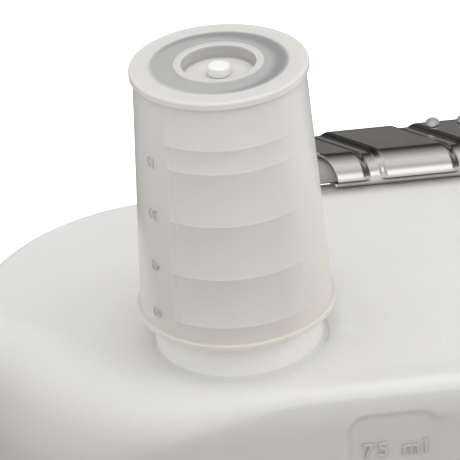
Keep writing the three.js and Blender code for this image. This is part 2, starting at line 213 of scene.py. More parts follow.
def mouldedSkinGroup():
    # cloudy thickness, fine speckle and small scuffs of a moulded plastic skin
    tree, given, out = newGroup(
        "mouldedSkin",
        [("Light Colour", "NodeSocketColor", (0.8, 0.8, 0.8, 1)),
         ("Deep Colour", "NodeSocketColor", (0.7, 0.7, 0.7, 1)),
         ("Cloud Scale", "NodeSocketFloat", 18.0), ("Speckle Scale", "NodeSocketFloat", 900.0),
         ("Speckle", "NodeSocketFloat", 0.3), ("Roughness", "NodeSocketFloat", 0.4),
         ("Relief", "NodeSocketFloat", 0.3)],
        [("Color", "NodeSocketColor"), ("Roughness", "NodeSocketFloat"), ("Height", "NodeSocketFloat")])
    place = addNode(tree, "ShaderNodeTexCoord")
    cloud = addNode(tree, "ShaderNodeTexNoise")
    feed(tree, cloud, Vector=place.outputs["Object"], Scale=given.outputs["Cloud Scale"], Detail=4.0,
         Roughness=0.55)
    speckle = addNode(tree, "ShaderNodeTexNoise")
    feed(tree, speckle, Vector=place.outputs["Object"], Scale=given.outputs["Speckle Scale"], Detail=2.0,
         Roughness=0.7)
    sharp = addNode(tree, "ShaderNodeMapRange", interpolation_type="SMOOTHSTEP")
    feed(tree, sharp, Value=speckle.outputs["Fac"], From_Min=0.56, From_Max=0.72)
    amount = addNode(tree, "ShaderNodeMath", operation="MULTIPLY")
    feed(tree, amount, n0=sharp.outputs["Result"], n1=given.outputs["Speckle"])
    mix = addNode(tree, "ShaderNodeMix", data_type="RGBA")
    tree.links.new(cloud.outputs["Fac"], mix.inputs["Factor"])
    tree.links.new(given.outputs["Deep Colour"], mix.inputs[6])
    tree.links.new(given.outputs["Light Colour"], mix.inputs[7])
    lift = addNode(tree, "ShaderNodeMix", data_type="RGBA", blend_type="ADD")
    lift.inputs[7].default_value = (0.12, 0.12, 0.12, 1)
    tree.links.new(amount.outputs["Value"], lift.inputs["Factor"])
    tree.links.new(mix.outputs[2], lift.inputs[6])
    scuff = addNode(tree, "ShaderNodeTexNoise")
    stretch = addNode(tree, "ShaderNodeMapping")
    stretch.inputs["Scale"].default_value = (40.0, 40.0, 400.0)
    tree.links.new(place.outputs["Object"], stretch.inputs["Vector"])
    feed(tree, scuff, Vector=stretch.outputs["Vector"], Scale=1.0, Detail=3.0, Roughness=0.6)
    rough = addNode(tree, "ShaderNodeMapRange")
    feed(tree, rough, Value=scuff.outputs["Fac"], From_Min=0.3, From_Max=0.7, To_Min=-0.02, To_Max=0.03)
    total = addNode(tree, "ShaderNodeMath", operation="ADD", use_clamp=True)
    feed(tree, total, n0=given.outputs["Roughness"], n1=rough.outputs["Result"])
    peel = addNode(tree, "ShaderNodeTexNoise")
    feed(tree, peel, Vector=place.outputs["Object"], Scale=160.0, Detail=2.0)
    relief = addNode(tree, "ShaderNodeMath", operation="MULTIPLY_ADD")
    feed(tree, relief, n0=amount.outputs["Value"], n1=0.5, n2=peel.outputs["Fac"])
    scaled = addNode(tree, "ShaderNodeMath", operation="MULTIPLY")
    feed(tree, scaled, n0=relief.outputs["Value"], n1=given.outputs["Relief"])
    tree.links.new(lift.outputs[2], out.inputs["Color"])
    tree.links.new(total.outputs["Value"], out.inputs["Roughness"])
    tree.links.new(scaled.outputs["Value"], out.inputs["Height"])
    return tree


def metalSkinGroup():
    # faint clouding, polishing lines and pits of a plated sheet
    tree, given, out = newGroup(
        "metalSkin",
        [("Bright", "NodeSocketColor", (0.7, 0.7, 0.7, 1)), ("Dull", "NodeSocketColor", (0.5, 0.5, 0.5, 1)),
         ("Roughness", "NodeSocketFloat", 0.12), ("Wear", "NodeSocketFloat", 0.3),
         ("Relief", "NodeSocketFloat", 0.2)],
        [("Color", "NodeSocketColor"), ("Roughness", "NodeSocketFloat"), ("Height", "NodeSocketFloat")])
    place = addNode(tree, "ShaderNodeTexCoord")
    cloud = addNode(tree, "ShaderNodeTexNoise")
    feed(tree, cloud, Vector=place.outputs["Object"], Scale=70.0, Detail=5.0, Roughness=0.6)
    mask = addNode(tree, "ShaderNodeMapRange", interpolation_type="SMOOTHSTEP")
    feed(tree, mask, Value=cloud.outputs["Fac"], From_Min=0.45, From_Max=0.75)
    worn = addNode(tree, "ShaderNodeMath", operation="MULTIPLY")
    feed(tree, worn, n0=mask.outputs["Result"], n1=given.outputs["Wear"])
    mix = addNode(tree, "ShaderNodeMix", data_type="RGBA")
    tree.links.new(worn.outputs["Value"], mix.inputs["Factor"])
    tree.links.new(given.outputs["Bright"], mix.inputs[6])
    tree.links.new(given.outputs["Dull"], mix.inputs[7])
    lines = addNode(tree, "ShaderNodeTexNoise")
    stretch = addNode(tree, "ShaderNodeMapping")
    stretch.inputs["Scale"].default_value = (60.0, 1600.0, 1600.0)
    tree.links.new(place.outputs["Object"], stretch.inputs["Vector"])
    feed(tree, lines, Vector=stretch.outputs["Vector"], Scale=1.0, Detail=2.0)
    rough = addNode(tree, "ShaderNodeMath", operation="MULTIPLY_ADD")
    feed(tree, rough, n0=worn.outputs["Value"], n1=0.35, n2=given.outputs["Roughness"])
    grain = addNode(tree, "ShaderNodeMath", operation="MULTIPLY_ADD")
    feed(tree, grain, n0=lines.outputs["Fac"], n1=0.05, n2=rough.outputs["Value"])
    pits = addNode(tree, "ShaderNodeTexNoise")
    feed(tree, pits, Vector=place.outputs["Object"], Scale=500.0, Detail=3.0)
    relief = addNode(tree, "ShaderNodeMath", operation="MULTIPLY")
    feed(tree, relief, n0=pits.outputs["Fac"], n1=given.outputs["Relief"])
    tree.links.new(mix.outputs[2], out.inputs["Color"])
    tree.links.new(grain.outputs["Value"], out.inputs["Roughness"])
    tree.links.new(relief.outputs["Value"], out.inputs["Height"])
    return tree


mouldedSkin = mouldedSkinGroup()
metalSkin = metalSkinGroup()


def skinnedMaterial(name, group, groupValues, shaderValues, bumpDistance=0.0002, bumpStrength=0.4):
    material = bpy.data.materials.new(name)
    material.use_nodes = True
    tree = material.node_tree
    shader = tree.nodes["Principled BSDF"]
    skin = addNode(tree, "ShaderNodeGroup", node_tree=group)
    for label, value in groupValues.items():
        skin.inputs[label].default_value = value
    bump = addNode(tree, "ShaderNodeBump")
    bump.inputs["Distance"].default_value = bumpDistance
    bump.inputs["Strength"].default_value = bumpStrength
    tree.links.new(skin.outputs["Color"], shader.inputs["Base Color"])
    tree.links.new(skin.outputs["Roughness"], shader.inputs["Roughness"])
    tree.links.new(skin.outputs["Height"], bump.inputs["Height"])
    tree.links.new(bump.outputs["Normal"], shader.inputs["Normal"])
    for label, value in shaderValues.items():
        shader.inputs[label].default_value = value
    return material


# Camera, light and floor

cameraSetup = dict(
    distance=639.4 * mm, elevation=31.68, azimuth=-2.5, roll=-4.48, yaw=-0.03, pitch=2.15, lens=219.1,
    sensor=36, nearest=0.01, furthest=50)


def placeCamera(setup):
    e, a = math.radians(setup["elevation"]), math.radians(setup["azimuth"])
    back = Vector((math.sin(a) * math.cos(e), -math.cos(a) * math.cos(e), math.sin(e)))
    aim = Vector((neckAxis.x, neckAxis.y, deck))
    spot = aim + back * setup["distance"]
    right = (-back).cross(Vector((0, 0, 1))).normalized()
    up = right.cross(-back)
    aside, above = math.tan(math.radians(setup["yaw"])), math.tan(math.radians(setup["pitch"]))
    look = (-back + aside * right + above * up).normalized()
    side = look.cross(up).normalized()
    top = side.cross(look)
    roll = math.radians(setup["roll"])
    x = math.cos(roll) * side + math.sin(roll) * top
    y = -math.sin(roll) * side + math.cos(roll) * top
    data = bpy.data.cameras.new("studioCamera")
    data.sensor_width = setup["sensor"]
    data.lens = setup["lens"]
    data.clip_start = setup["nearest"]
    data.clip_end = setup["furthest"]
    camera = makeObject("studioCamera", data)
    camera.matrix_world = Matrix((x, y, -look)).transposed().to_4x4()
    camera.location = spot
    bpy.context.scene.camera = camera


def areaLight(name, spot, target, size, power):
    data = bpy.data.lights.new(name, "AREA")
    data.shape = "RECTANGLE"
    data.size, data.size_y = size
    data.energy = power
    light = makeObject(name, data)
    light.visible_glossy = False
    light.location = spot
    light.rotation_euler = (target - spot).to_track_quat("-Z", "Y").to_euler()


lighting = dict(
    overhead=4.9, overheadSize=(1.7, 1.5), overheadSpot=(0.1, -0.25, 1.2),
    right=3.0, rightSize=(0.9, 0.9), rightSpot=(1.3, -0.3, 0.55),
    room=0.92, roomBelow=0.74, belowEnds=(-0.1, 0.35), roomBehind=0.7, behindEnds=(0.35, 0.8),
    floorTone=0.5, floorRoughness=0.9, floorShine=0.1, floorReach=6,
    floorGlow=1.1, glowStart=0.10, glowFull=0.26)

# What polished surfaces see, by the angle up from straight behind the bottle and over to the front
polishedView = (
    (-180, 1.3), (-150, 0.55), (-90, 0.3), (-20, 0.03), (18, 0.05), (27, 0.22), (36, 0.16), (43, 0.02),
    (62, 0.07), (92, 0.44), (120, 0.82), (138, 0.78), (152, 0.56), (160, 0.8), (168, 1.35), (180, 1.3))

# Dark cards at the two ends of that view: where each starts and ends, and how dark it is
cards = dict(
    warmth=(1, 0.985, 0.965), leftEnds=(-0.65, -0.2), leftLevel=0.06, rightEnds=(0.3, 0.65), rightLevel=0.12,
    behindEnds=(-0.3, 0.1))


def polishedRoom(tree, direction):
    # brightness ramp round the axis that runs along the bottle
    split = addNode(tree, "ShaderNodeSeparateXYZ")
    tree.links.new(direction, split.inputs["Vector"])
    turn = addNode(tree, "ShaderNodeMath", operation="ARCTAN2")
    feed(tree, turn, n0=split.outputs["Z"], n1=split.outputs["Y"])
    share = addNode(tree, "ShaderNodeMath", operation="MULTIPLY_ADD")
    feed(tree, share, n0=turn.outputs["Value"], n1=0.5 / math.pi, n2=0.5)
    ramp = addNode(tree, "ShaderNodeValToRGB")
    stops = ramp.color_ramp.elements
    while len(stops) < len(polishedView):
        stops.new(0.5)
    for stop, (angle, level) in zip(stops, polishedView):
        stop.position = (angle + 180) / 360
        stop.color = (*(level * part for part in cards["warmth"]), 1)
    tree.links.new(share.outputs["Value"], ramp.inputs["Fac"])
    leftCard = addNode(tree, "ShaderNodeMapRange", interpolation_type="SMOOTHSTEP")
    start, end = cards["leftEnds"]
    feed(tree, leftCard, Value=split.outputs["X"], From_Min=start, From_Max=end, To_Min=cards["leftLevel"],
         To_Max=1.0)
    rightCard = addNode(tree, "ShaderNodeMapRange", interpolation_type="SMOOTHSTEP")
    start, end = cards["rightEnds"]
    feed(tree, rightCard, Value=split.outputs["X"], From_Min=start, From_Max=end, To_Min=1.0,
         To_Max=cards["rightLevel"])
    behind = addNode(tree, "ShaderNodeMapRange", interpolation_type="SMOOTHSTEP")
    start, end = cards["behindEnds"]
    feed(tree, behind, Value=split.outputs["Y"], From_Min=start, From_Max=end)
    aside = addNode(tree, "ShaderNodeMix", data_type="FLOAT")
    feed(tree, aside, n0=behind.outputs["Result"], n2=rightCard.outputs["Result"],
         n3=leftCard.outputs["Result"])
    dim = addNode(tree, "ShaderNodeVectorMath", operation="SCALE")
    tree.links.new(ramp.outputs["Color"], dim.inputs["Vector"])
    tree.links.new(aside.outputs[0], dim.inputs["Scale"])
    return dim.outputs["Vector"]


def paleRoom():
    # soft light for matt surfaces, and light and dark cards for polished ones
    world = bpy.data.worlds.new("paleRoom")
    bpy.context.scene.world = world
    world.use_nodes = True
    tree = world.node_tree
    backdrop = tree.nodes["Background"]
    where = addNode(tree, "ShaderNodeTexCoord")
    split = addNode(tree, "ShaderNodeSeparateXYZ")
    tree.links.new(where.outputs["Generated"], split.inputs["Vector"])
    behind = addNode(tree, "ShaderNodeMapRange", interpolation_type="SMOOTHSTEP")
    start, end = lighting["behindEnds"]
    feed(tree, behind, Value=split.outputs["Y"], From_Min=start, From_Max=end, To_Min=lighting["room"],
         To_Max=lighting["room"] * lighting["roomBehind"])
    below = addNode(tree, "ShaderNodeMapRange", interpolation_type="SMOOTHSTEP")
    start, end = lighting["belowEnds"]
    feed(tree, below, Value=split.outputs["Z"], From_Min=start, From_Max=end, To_Min=lighting["roomBelow"],
         To_Max=1.0)
    both = addNode(tree, "ShaderNodeMath", operation="MULTIPLY")
    feed(tree, both, n0=behind.outputs["Result"], n1=below.outputs["Result"])
    path = addNode(tree, "ShaderNodeLightPath")
    pick = addNode(tree, "ShaderNodeMix", data_type="RGBA")
    tree.links.new(path.outputs["Is Glossy Ray"], pick.inputs["Factor"])
    tree.links.new(both.outputs["Value"], pick.inputs[6])
    tree.links.new(polishedRoom(tree, where.outputs["Generated"]), pick.inputs[7])
    tree.links.new(pick.outputs[2], backdrop.inputs["Color"])


def paleFloor():
    # the floor glows behind the bottle, so that it ends in plain white
    reach = lighting["floorReach"]
    corners = [(-reach, -reach, 0), (reach, -reach, 0), (reach, reach, 0), (-reach, reach, 0)]
    mesh = meshFrom("floor", corners, [(0, 1, 2, 3)])
    floor = makeObject("floor", mesh)
    paint = bpy.data.materials.new("paleFloor")
    paint.use_nodes = True
    tree = paint.node_tree
    shader = tree.nodes["Principled BSDF"]
    tone = lighting["floorTone"]
    shader.inputs["Base Color"].default_value = (tone, tone, tone, 1)
    shader.inputs["Roughness"].default_value = lighting["floorRoughness"]
    shader.inputs["Specular IOR Level"].default_value = lighting["floorShine"]
    where = addNode(tree, "ShaderNodeTexCoord")
    split = addNode(tree, "ShaderNodeSeparateXYZ")
    tree.links.new(where.outputs["Object"], split.inputs["Vector"])
    glow = addNode(tree, "ShaderNodeMapRange", interpolation_type="SMOOTHSTEP")
    feed(tree, glow, Value=split.outputs["Y"], From_Min=neckAxis.y + lighting["glowStart"],
         From_Max=neckAxis.y + lighting["glowFull"], To_Max=lighting["floorGlow"])
    tree.links.new(glow.outputs["Result"], shader.inputs["Emission Color"])
    shader.inputs["Emission Strength"].default_value = 1.0
    floor.data.materials.append(paint)
    floor.visible_glossy = False


def studio():
    middle = Vector((neckAxis.x, neckAxis.y, deck))
    for name, key in (("overheadSoftbox", "overhead"), ("rightFill", "right")):
        spot = middle + Vector(lighting[key + "Spot"])
        areaLight(name, spot, middle, lighting[key + "Size"], lighting[key])
    paleRoom()
    paleFloor()
    bpy.context.scene.view_settings.view_transform = "Standard"


placeCamera(cameraSetup)
studio()
print("camera, light and floor placed")


# Finishes

def stainWith(material, mask, tone):
    # multiply the finish's colour by a tone where the mask is 1
    tree = material.node_tree
    shader = tree.nodes["Principled BSDF"]
    before = shader.inputs["Base Color"].links[0].from_socket
    mix = addNode(tree, "ShaderNodeMix", data_type="RGBA", blend_type="MULTIPLY")
    tree.links.new(mask, mix.inputs["Factor"])
    tree.links.new(before, mix.inputs[6])
    mix.inputs[7].default_value = (*tone, 1)
    tree.links.new(mix.outputs[2], shader.inputs["Base Color"])


def heightFadeGroup():
    # 0 above one height and 1 below another, softly
    tree, given, out = newGroup(
        "heightFade", [("High", "NodeSocketFloat", 0.0), ("Low", "NodeSocketFloat", 0.0)],
        [("Mask", "NodeSocketFloat")])
    where = addNode(tree, "ShaderNodeTexCoord")
    split = addNode(tree, "ShaderNodeSeparateXYZ")
    tree.links.new(where.outputs["Object"], split.inputs["Vector"])
    fade = addNode(tree, "ShaderNodeMapRange", interpolation_type="SMOOTHSTEP")
    feed(tree, fade, Value=split.outputs["Z"], From_Min=given.outputs["Low"], From_Max=given.outputs["High"],
         To_Min=1.0, To_Max=0.0)
    tree.links.new(fade.outputs["Result"], out.inputs["Mask"])
    return tree


def discGroup():
    # 1 inside an upright disc about a centre, with a soft edge, and only above a height
    tree, given, out = newGroup(
        "softDisc", [("Centre", "NodeSocketVector", (0, 0, 0)), ("Radius", "NodeSocketFloat", 0.01),
                     ("Softness", "NodeSocketFloat", 0.001), ("Above", "NodeSocketFloat", 0.0)],
        [("Mask", "NodeSocketFloat")])
    where = addNode(tree, "ShaderNodeTexCoord")
    apart = addNode(tree, "ShaderNodeVectorMath", operation="SUBTRACT")
    tree.links.new(where.outputs["Object"], apart.inputs[0])
    tree.links.new(given.outputs["Centre"], apart.inputs[1])
    level = addNode(tree, "ShaderNodeVectorMath", operation="MULTIPLY")
    level.inputs[1].default_value = (1, 1, 0)
    tree.links.new(apart.outputs["Vector"], level.inputs[0])
    reach = addNode(tree, "ShaderNodeVectorMath", operation="LENGTH")
    tree.links.new(level.outputs["Vector"], reach.inputs[0])
    past = addNode(tree, "ShaderNodeMath", operation="SUBTRACT")
    feed(tree, past, n0=reach.outputs["Value"], n1=given.outputs["Radius"])
    share = addNode(tree, "ShaderNodeMath", operation="DIVIDE")
    feed(tree, share, n0=past.outputs["Value"], n1=given.outputs["Softness"])
    inside = addNode(tree, "ShaderNodeMapRange", interpolation_type="SMOOTHSTEP")
    feed(tree, inside, Value=share.outputs["Value"], From_Min=-1.0, From_Max=1.0, To_Min=1.0, To_Max=0.0)
    split = addNode(tree, "ShaderNodeSeparateXYZ")
    tree.links.new(where.outputs["Object"], split.inputs["Vector"])
    high = addNode(tree, "ShaderNodeMath", operation="GREATER_THAN")
    feed(tree, high, n0=split.outputs["Z"], n1=given.outputs["Above"])
    both = addNode(tree, "ShaderNodeMath", operation="MULTIPLY")
    feed(tree, both, n0=inside.outputs["Result"], n1=high.outputs["Value"])
    tree.links.new(both.outputs["Value"], out.inputs["Mask"])
    return tree


def backFadeGroup():
    # 0 in front of one depth and 1 behind another, softly, above a height and within a half length
    tree, given, out = newGroup(
        "backFade", [("Front", "NodeSocketFloat", 0.0), ("Back", "NodeSocketFloat", 0.0),
                     ("Above", "NodeSocketFloat", 0.0), ("Inner", "NodeSocketFloat", 0.0),
                     ("Outer", "NodeSocketFloat", 1.0)], [("Mask", "NodeSocketFloat")])
    where = addNode(tree, "ShaderNodeTexCoord")
    split = addNode(tree, "ShaderNodeSeparateXYZ")
    tree.links.new(where.outputs["Object"], split.inputs["Vector"])
    fade = addNode(tree, "ShaderNodeMapRange", interpolation_type="SMOOTHERSTEP")
    feed(tree, fade, Value=split.outputs["Y"], From_Min=given.outputs["Front"],
         From_Max=given.outputs["Back"], To_Min=0.0, To_Max=1.0)
    high = addNode(tree, "ShaderNodeMath", operation="GREATER_THAN")
    feed(tree, high, n0=split.outputs["Z"], n1=given.outputs["Above"])
    both = addNode(tree, "ShaderNodeMath", operation="MULTIPLY")
    feed(tree, both, n0=fade.outputs["Result"], n1=high.outputs["Value"])
    along = addNode(tree, "ShaderNodeMath", operation="ABSOLUTE")
    tree.links.new(split.outputs["X"], along.inputs[0])
    ends = addNode(tree, "ShaderNodeMapRange", interpolation_type="SMOOTHSTEP")
    feed(tree, ends, Value=along.outputs["Value"], From_Min=given.outputs["Inner"],
         From_Max=given.outputs["Outer"], To_Min=1.0, To_Max=0.0)
    whole = addNode(tree, "ShaderNodeMath", operation="MULTIPLY")
    feed(tree, whole, n0=both.outputs["Value"], n1=ends.outputs["Result"])
    tree.links.new(whole.outputs["Value"], out.inputs["Mask"])
    return tree


heightFade = heightFadeGroup()
backFade = backFadeGroup()
softDisc = discGroup()


def fadeMask(material, high, low):
    node = addNode(material.node_tree, "ShaderNodeGroup", node_tree=heightFade)
    node.inputs["High"].default_value = high
    node.inputs["Low"].default_value = low
    return node.outputs["Mask"]


def backMask(material, front, back, above, inner, outer):
    node = addNode(material.node_tree, "ShaderNodeGroup", node_tree=backFade)
    node.inputs["Front"].default_value = front
    node.inputs["Back"].default_value = back
    node.inputs["Above"].default_value = above
    node.inputs["Inner"].default_value = inner
    node.inputs["Outer"].default_value = outer
    return node.outputs["Mask"]


def discMask(material, centre, radius, softness, above):
    node = addNode(material.node_tree, "ShaderNodeGroup", node_tree=softDisc)
    node.inputs["Centre"].default_value = centre
    node.inputs["Radius"].default_value = radius
    node.inputs["Softness"].default_value = softness
    node.inputs["Above"].default_value = above
    return node.outputs["Mask"]


def maskMath(material, operation, first, second):
    node = addNode(material.node_tree, "ShaderNodeMath", operation=operation, use_clamp=True)
    feed(material.node_tree, node, n0=first, n1=second)
    return node.outputs["Value"]


milkyTank = skinnedMaterial(
    "milkyTank", mouldedSkin,
    {"Light Colour": (0.80, 0.79, 0.765, 1), "Deep Colour": (0.765, 0.752, 0.725, 1), "Cloud Scale": 22.0,
     "Speckle Scale": 900.0, "Speckle": 0.25, "Roughness": 0.36, "Relief": 0.35},
    {"Subsurface Weight": 0.35, "Subsurface Scale": 0.006, "Subsurface Radius": (1.0, 0.9, 0.75),
     "Coat Weight": 0.12, "Coat Roughness": 0.25})
spoutWhite = skinnedMaterial(
    "spoutWhite", mouldedSkin,
    {"Light Colour": (0.83, 0.82, 0.79, 1), "Deep Colour": (0.79, 0.78, 0.75, 1), "Cloud Scale": 40.0,
     "Speckle Scale": 700.0, "Speckle": 0.1, "Roughness": 0.38, "Relief": 0.25},
    {"Subsurface Weight": 0.3, "Subsurface Scale": 0.004})


# What shows through the cup, and the painted shade on it: where each mask lies and the tone it gives
seenThroughAndShade = dict(
    skin=0.4 * mm, bandSoft=0.9 * mm, boss=9.95 * mm, bossSoft=0.25 * mm, bandTone=(0.66, 0.68, 0.70),
    rimReach=0.2 * mm, rimSoft=0.5 * mm, biteShift=(-1.7 * mm, -0.9 * mm), bite=13.7 * mm,
    biteSoft=1.2 * mm, crescentTone=(0.66, 0.67, 0.68),
    lowFrom=66 * mm, lowTo=8 * mm, lowTone=(0.9, 0.88, 0.85),
    topReach=30 * mm, topSoft=1 * mm, topFrom=68.2 * mm, topShadeTone=(0.93, 0.935, 0.93),
    bossEdge=8.5 * mm, bossEdgeSoft=0.2 * mm, bossTone=(0.92, 0.925, 0.93),
    wellDepth=4 * mm, wellOuter=8.3 * mm, wellOuterSoft=0.15 * mm, wellInner=7.8 * mm,
    wellInnerSoft=0.3 * mm, wellShadeTone=(0.62, 0.63, 0.64))


def cupFinish():
    # milky plastic with the seal ring showing through, painted shade on the top face and in the deep well, and darker
    # towards the rim
    material = skinnedMaterial(
        "cupMilk", mouldedSkin,
        {"Light Colour": (0.79, 0.768, 0.74, 1), "Deep Colour": (0.75, 0.726, 0.695, 1), "Cloud Scale": 26.0,
         "Speckle Scale": 600.0, "Speckle": 0.06, "Roughness": 0.3, "Relief": 0.2},
        {"Subsurface Weight": 0.5, "Subsurface Scale": 0.003, "Subsurface Radius": (1.0, 0.85, 0.7),
         "Coat Weight": 0.2, "Coat Roughness": 0.15, "IOR": 1.45})
    low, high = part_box("cup_seal_ring")
    reach = (high.x - low.x) / 2
    axis = (neckAxis.x, neckAxis.y, 0)
    end = high.z + seenThroughAndShade["skin"]
    outer = discMask(material, axis, reach, seenThroughAndShade["bandSoft"], end)
    inner = discMask(material, axis, seenThroughAndShade["boss"], seenThroughAndShade["bossSoft"], end)
    stainWith(material, maskMath(material, "SUBTRACT", outer, inner), seenThroughAndShade["bandTone"])
    rim = discMask(material, axis, reach + seenThroughAndShade["rimReach"], seenThroughAndShade["rimSoft"], end)
    shiftX, shiftY = seenThroughAndShade["biteShift"]
    aside = (neckAxis.x + shiftX, neckAxis.y + shiftY, 0)
    bite = discMask(material, aside, seenThroughAndShade["bite"], seenThroughAndShade["biteSoft"], end)
    stainWith(material, maskMath(material, "SUBTRACT", rim, bite), seenThroughAndShade["crescentTone"])
    # the wall darker and darker towards the rim
    stainWith(material, fadeMask(material, deck + seenThroughAndShade["lowFrom"], deck + seenThroughAndShade["lowTo"]), seenThroughAndShade["lowTone"])
    # painted shade over the cup's top face
    top = discMask(material, axis, seenThroughAndShade["topReach"], seenThroughAndShade["topSoft"], deck + seenThroughAndShade["topFrom"])
    stainWith(material, top, seenThroughAndShade["topShadeTone"])
    bossEdge = discMask(material, axis, seenThroughAndShade["bossEdge"], seenThroughAndShade["bossEdgeSoft"], end)
    stainWith(material, maskMath(material, "SUBTRACT", inner, bossEdge), seenThroughAndShade["bossTone"])
    # painted shade on the wall of the deep well
    floor = end - seenThroughAndShade["wellDepth"]
    wallOuter = discMask(material, axis, seenThroughAndShade["wellOuter"], seenThroughAndShade["wellOuterSoft"], floor)
    wallInner = discMask(material, axis, seenThroughAndShade["wellInner"], seenThroughAndShade["wellInnerSoft"], floor)
    stainWith(material, maskMath(material, "SUBTRACT", wallOuter, wallInner), seenThroughAndShade["wellShadeTone"])
    return material


cupMilk = cupFinish()

# Painted light and shade on the tank: painted shade down the wall, a painted shadow under the handle's lip and painted
# light on the neck
tankLightAndShade = dict(
    wallFrom=1.5 * mm, wallTo=12 * mm, wallShadeTone=(0.82, 0.80, 0.77),
    lipFront=4 * mm, lipBack=1.5 * mm, lipDrop=0.5 * mm, lipInner=10 * mm, lipOuter=2 * mm,
    lipShadowTone=(0.6, 0.575, 0.55),
    neckReach=19.6 * mm, neckSoft=0.4 * mm, neckFrom=0.9 * mm, neckLightTone=(1.17, 1.165, 1.155))


def paintTankShading():
    # painted shade down the tank's wall, below the deck
    fade = fadeMask(milkyTank, deck - tankLightAndShade["wallFrom"], deck - tankLightAndShade["wallTo"])
    stainWith(milkyTank, fade, tankLightAndShade["wallShadeTone"])
    # painted shadow on the deck under the handle's lip
    low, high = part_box("handle_plate")
    lip = backMask(milkyTank, low.y - tankLightAndShade["lipFront"], low.y + tankLightAndShade["lipBack"],
                   deck - tankLightAndShade["lipDrop"], high.x - tankLightAndShade["lipInner"],
                   high.x - tankLightAndShade["lipOuter"])
    stainWith(milkyTank, lip, tankLightAndShade["lipShadowTone"])
    # painted light on the neck, brighter than its plastic
    neck = discMask(milkyTank, (neckAxis.x, neckAxis.y, 0), tankLightAndShade["neckReach"], tankLightAndShade["neckSoft"],
                    deck + tankLightAndShade["neckFrom"])
    stainWith(milkyTank, neck, tankLightAndShade["neckLightTone"])


paintTankShading()
plugWhite = skinnedMaterial(
    "plugWhite", mouldedSkin,
    {"Light Colour": (0.93, 0.93, 0.91, 1), "Deep Colour": (0.9, 0.9, 0.88, 1), "Cloud Scale": 60.0,
     "Speckle Scale": 900.0, "Speckle": 0.0, "Roughness": 0.25, "Relief": 0.1},
    {"Subsurface Weight": 0.3, "Subsurface Scale": 0.002})
sealGrey = skinnedMaterial(
    "sealGrey", mouldedSkin,
    {"Light Colour": (0.16, 0.16, 0.165, 1), "Deep Colour": (0.12, 0.12, 0.125, 1), "Cloud Scale": 90.0,
     "Speckle Scale": 900.0, "Speckle": 0.1, "Roughness": 0.65, "Relief": 0.4},
    {})
linerGrey = skinnedMaterial(
    "linerGrey", mouldedSkin,
    {"Light Colour": (0.37, 0.361, 0.353, 1), "Deep Colour": (0.34, 0.332, 0.325, 1), "Cloud Scale": 60.0,
     "Speckle Scale": 700.0, "Speckle": 0.1, "Roughness": 0.55, "Relief": 0.3},
    {})
chrome = skinnedMaterial(
    "chromePlate", metalSkin,
    {"Bright": (0.74, 0.72, 0.70, 1), "Dull": (0.6, 0.585, 0.56, 1), "Roughness": 0.1, "Wear": 0.25,
     "Relief": 0.12},
    {"Metallic": 1.0})
footShade = addNode(chrome.node_tree, "ShaderNodeAttribute", attribute_name="footShade")
stainWith(chrome, footShade.outputs["Fac"], (0.16, 0.15, 0.14))
zincSteel = skinnedMaterial(
    "zincSteel", metalSkin,
    {"Bright": (0.5, 0.5, 0.495, 1), "Dull": (0.4, 0.4, 0.395, 1), "Roughness": 0.36, "Wear": 0.5,
     "Relief": 0.4},
    {"Metallic": 0.4})
rivetSteel = skinnedMaterial(
    "rivetSteel", metalSkin,
    {"Bright": (0.6, 0.595, 0.59, 1), "Dull": (0.48, 0.475, 0.47, 1), "Roughness": 0.36, "Wear": 0.5,
     "Relief": 0.4},
    {"Metallic": 0.55})


# Tank

tank = dict(
    wall=2 * mm, edge=3 * mm, wideShoulder=18 * mm, shoulderSlope=6.0, wallRow=9 * mm, arcStep=3.0,
    neckRadius=19 * mm, neckFillet=1.2 * mm, foot=6 * mm, pushUp=3 * mm, deckSpacing=3 * mm,
    panelWidth=21.4 * mm, panelHeight=24 * mm, panelCorner=5 * mm, panelDepth=0.8 * mm,
    panelFromNeck=31.5 * mm, panelDrop=7.2 * mm, figureSize=5.2 * mm, figureRise=0.3 * mm,
    figureSpacing=1.3, figureLift=2.2 * mm, mouthRound=0.5 * mm)
# Wide shoulder along the front and round the left end: where it swells and fades, from right of the neck
shoulder = dict(start=15 * mm, swelled=70 * mm, fading=82 * mm, end=112 * mm, steps=12)
# Soft crease and fall of the deck, and the low lug beside the neck, measured from the neck's axis
deckRelief = dict(
    crease=16.5, creaseSwing=4.2, creaseFrom=24, creaseRun=14, fall=0.75 * mm, fallRun=11 * mm,
    fallStart=(19 * mm, 27 * mm), fallEnd=(120 * mm, 160 * mm), lug=0.5 * mm, lugMiddle=(24.2 * mm, 6 * mm),
    lugHalf=(1.6 * mm, 7.5 * mm), lugFlank=(-0.2 * mm, 0.9 * mm), edgeFade=(3 * mm, 9 * mm))

tankX0, tankX1 = bodyLow.x, bodyHigh.x
tankY0, tankY1 = bodyLow.y, bodyHigh.y
endRadius = (tankY1 - tankY0) / 2
midY = (tankY0 + tankY1) / 2
leftCentre = Vector((tankX0 + endRadius, midY))
rightCentre = Vector((tankX1 - endRadius, midY))
panelX = neckAxis.x + tank["panelFromNeck"]
panelZ = deck - tank["panelDrop"] - tank["panelHeight"] / 2


def panelInset(x, z):
    # depth of the pressed panel at a point of the front wall
    w = tank["panelWidth"] / 2 - tank["panelCorner"]
    h = tank["panelHeight"] / 2 - tank["panelCorner"]
    dx, dz = max(0.0, abs(x - panelX) - w), max(0.0, abs(z - panelZ) - h)
    outside = math.hypot(dx, dz) - tank["panelCorner"]
    return tank["panelDepth"] * (1 - smooth(outside, -1.1 * mm, 0.5 * mm))


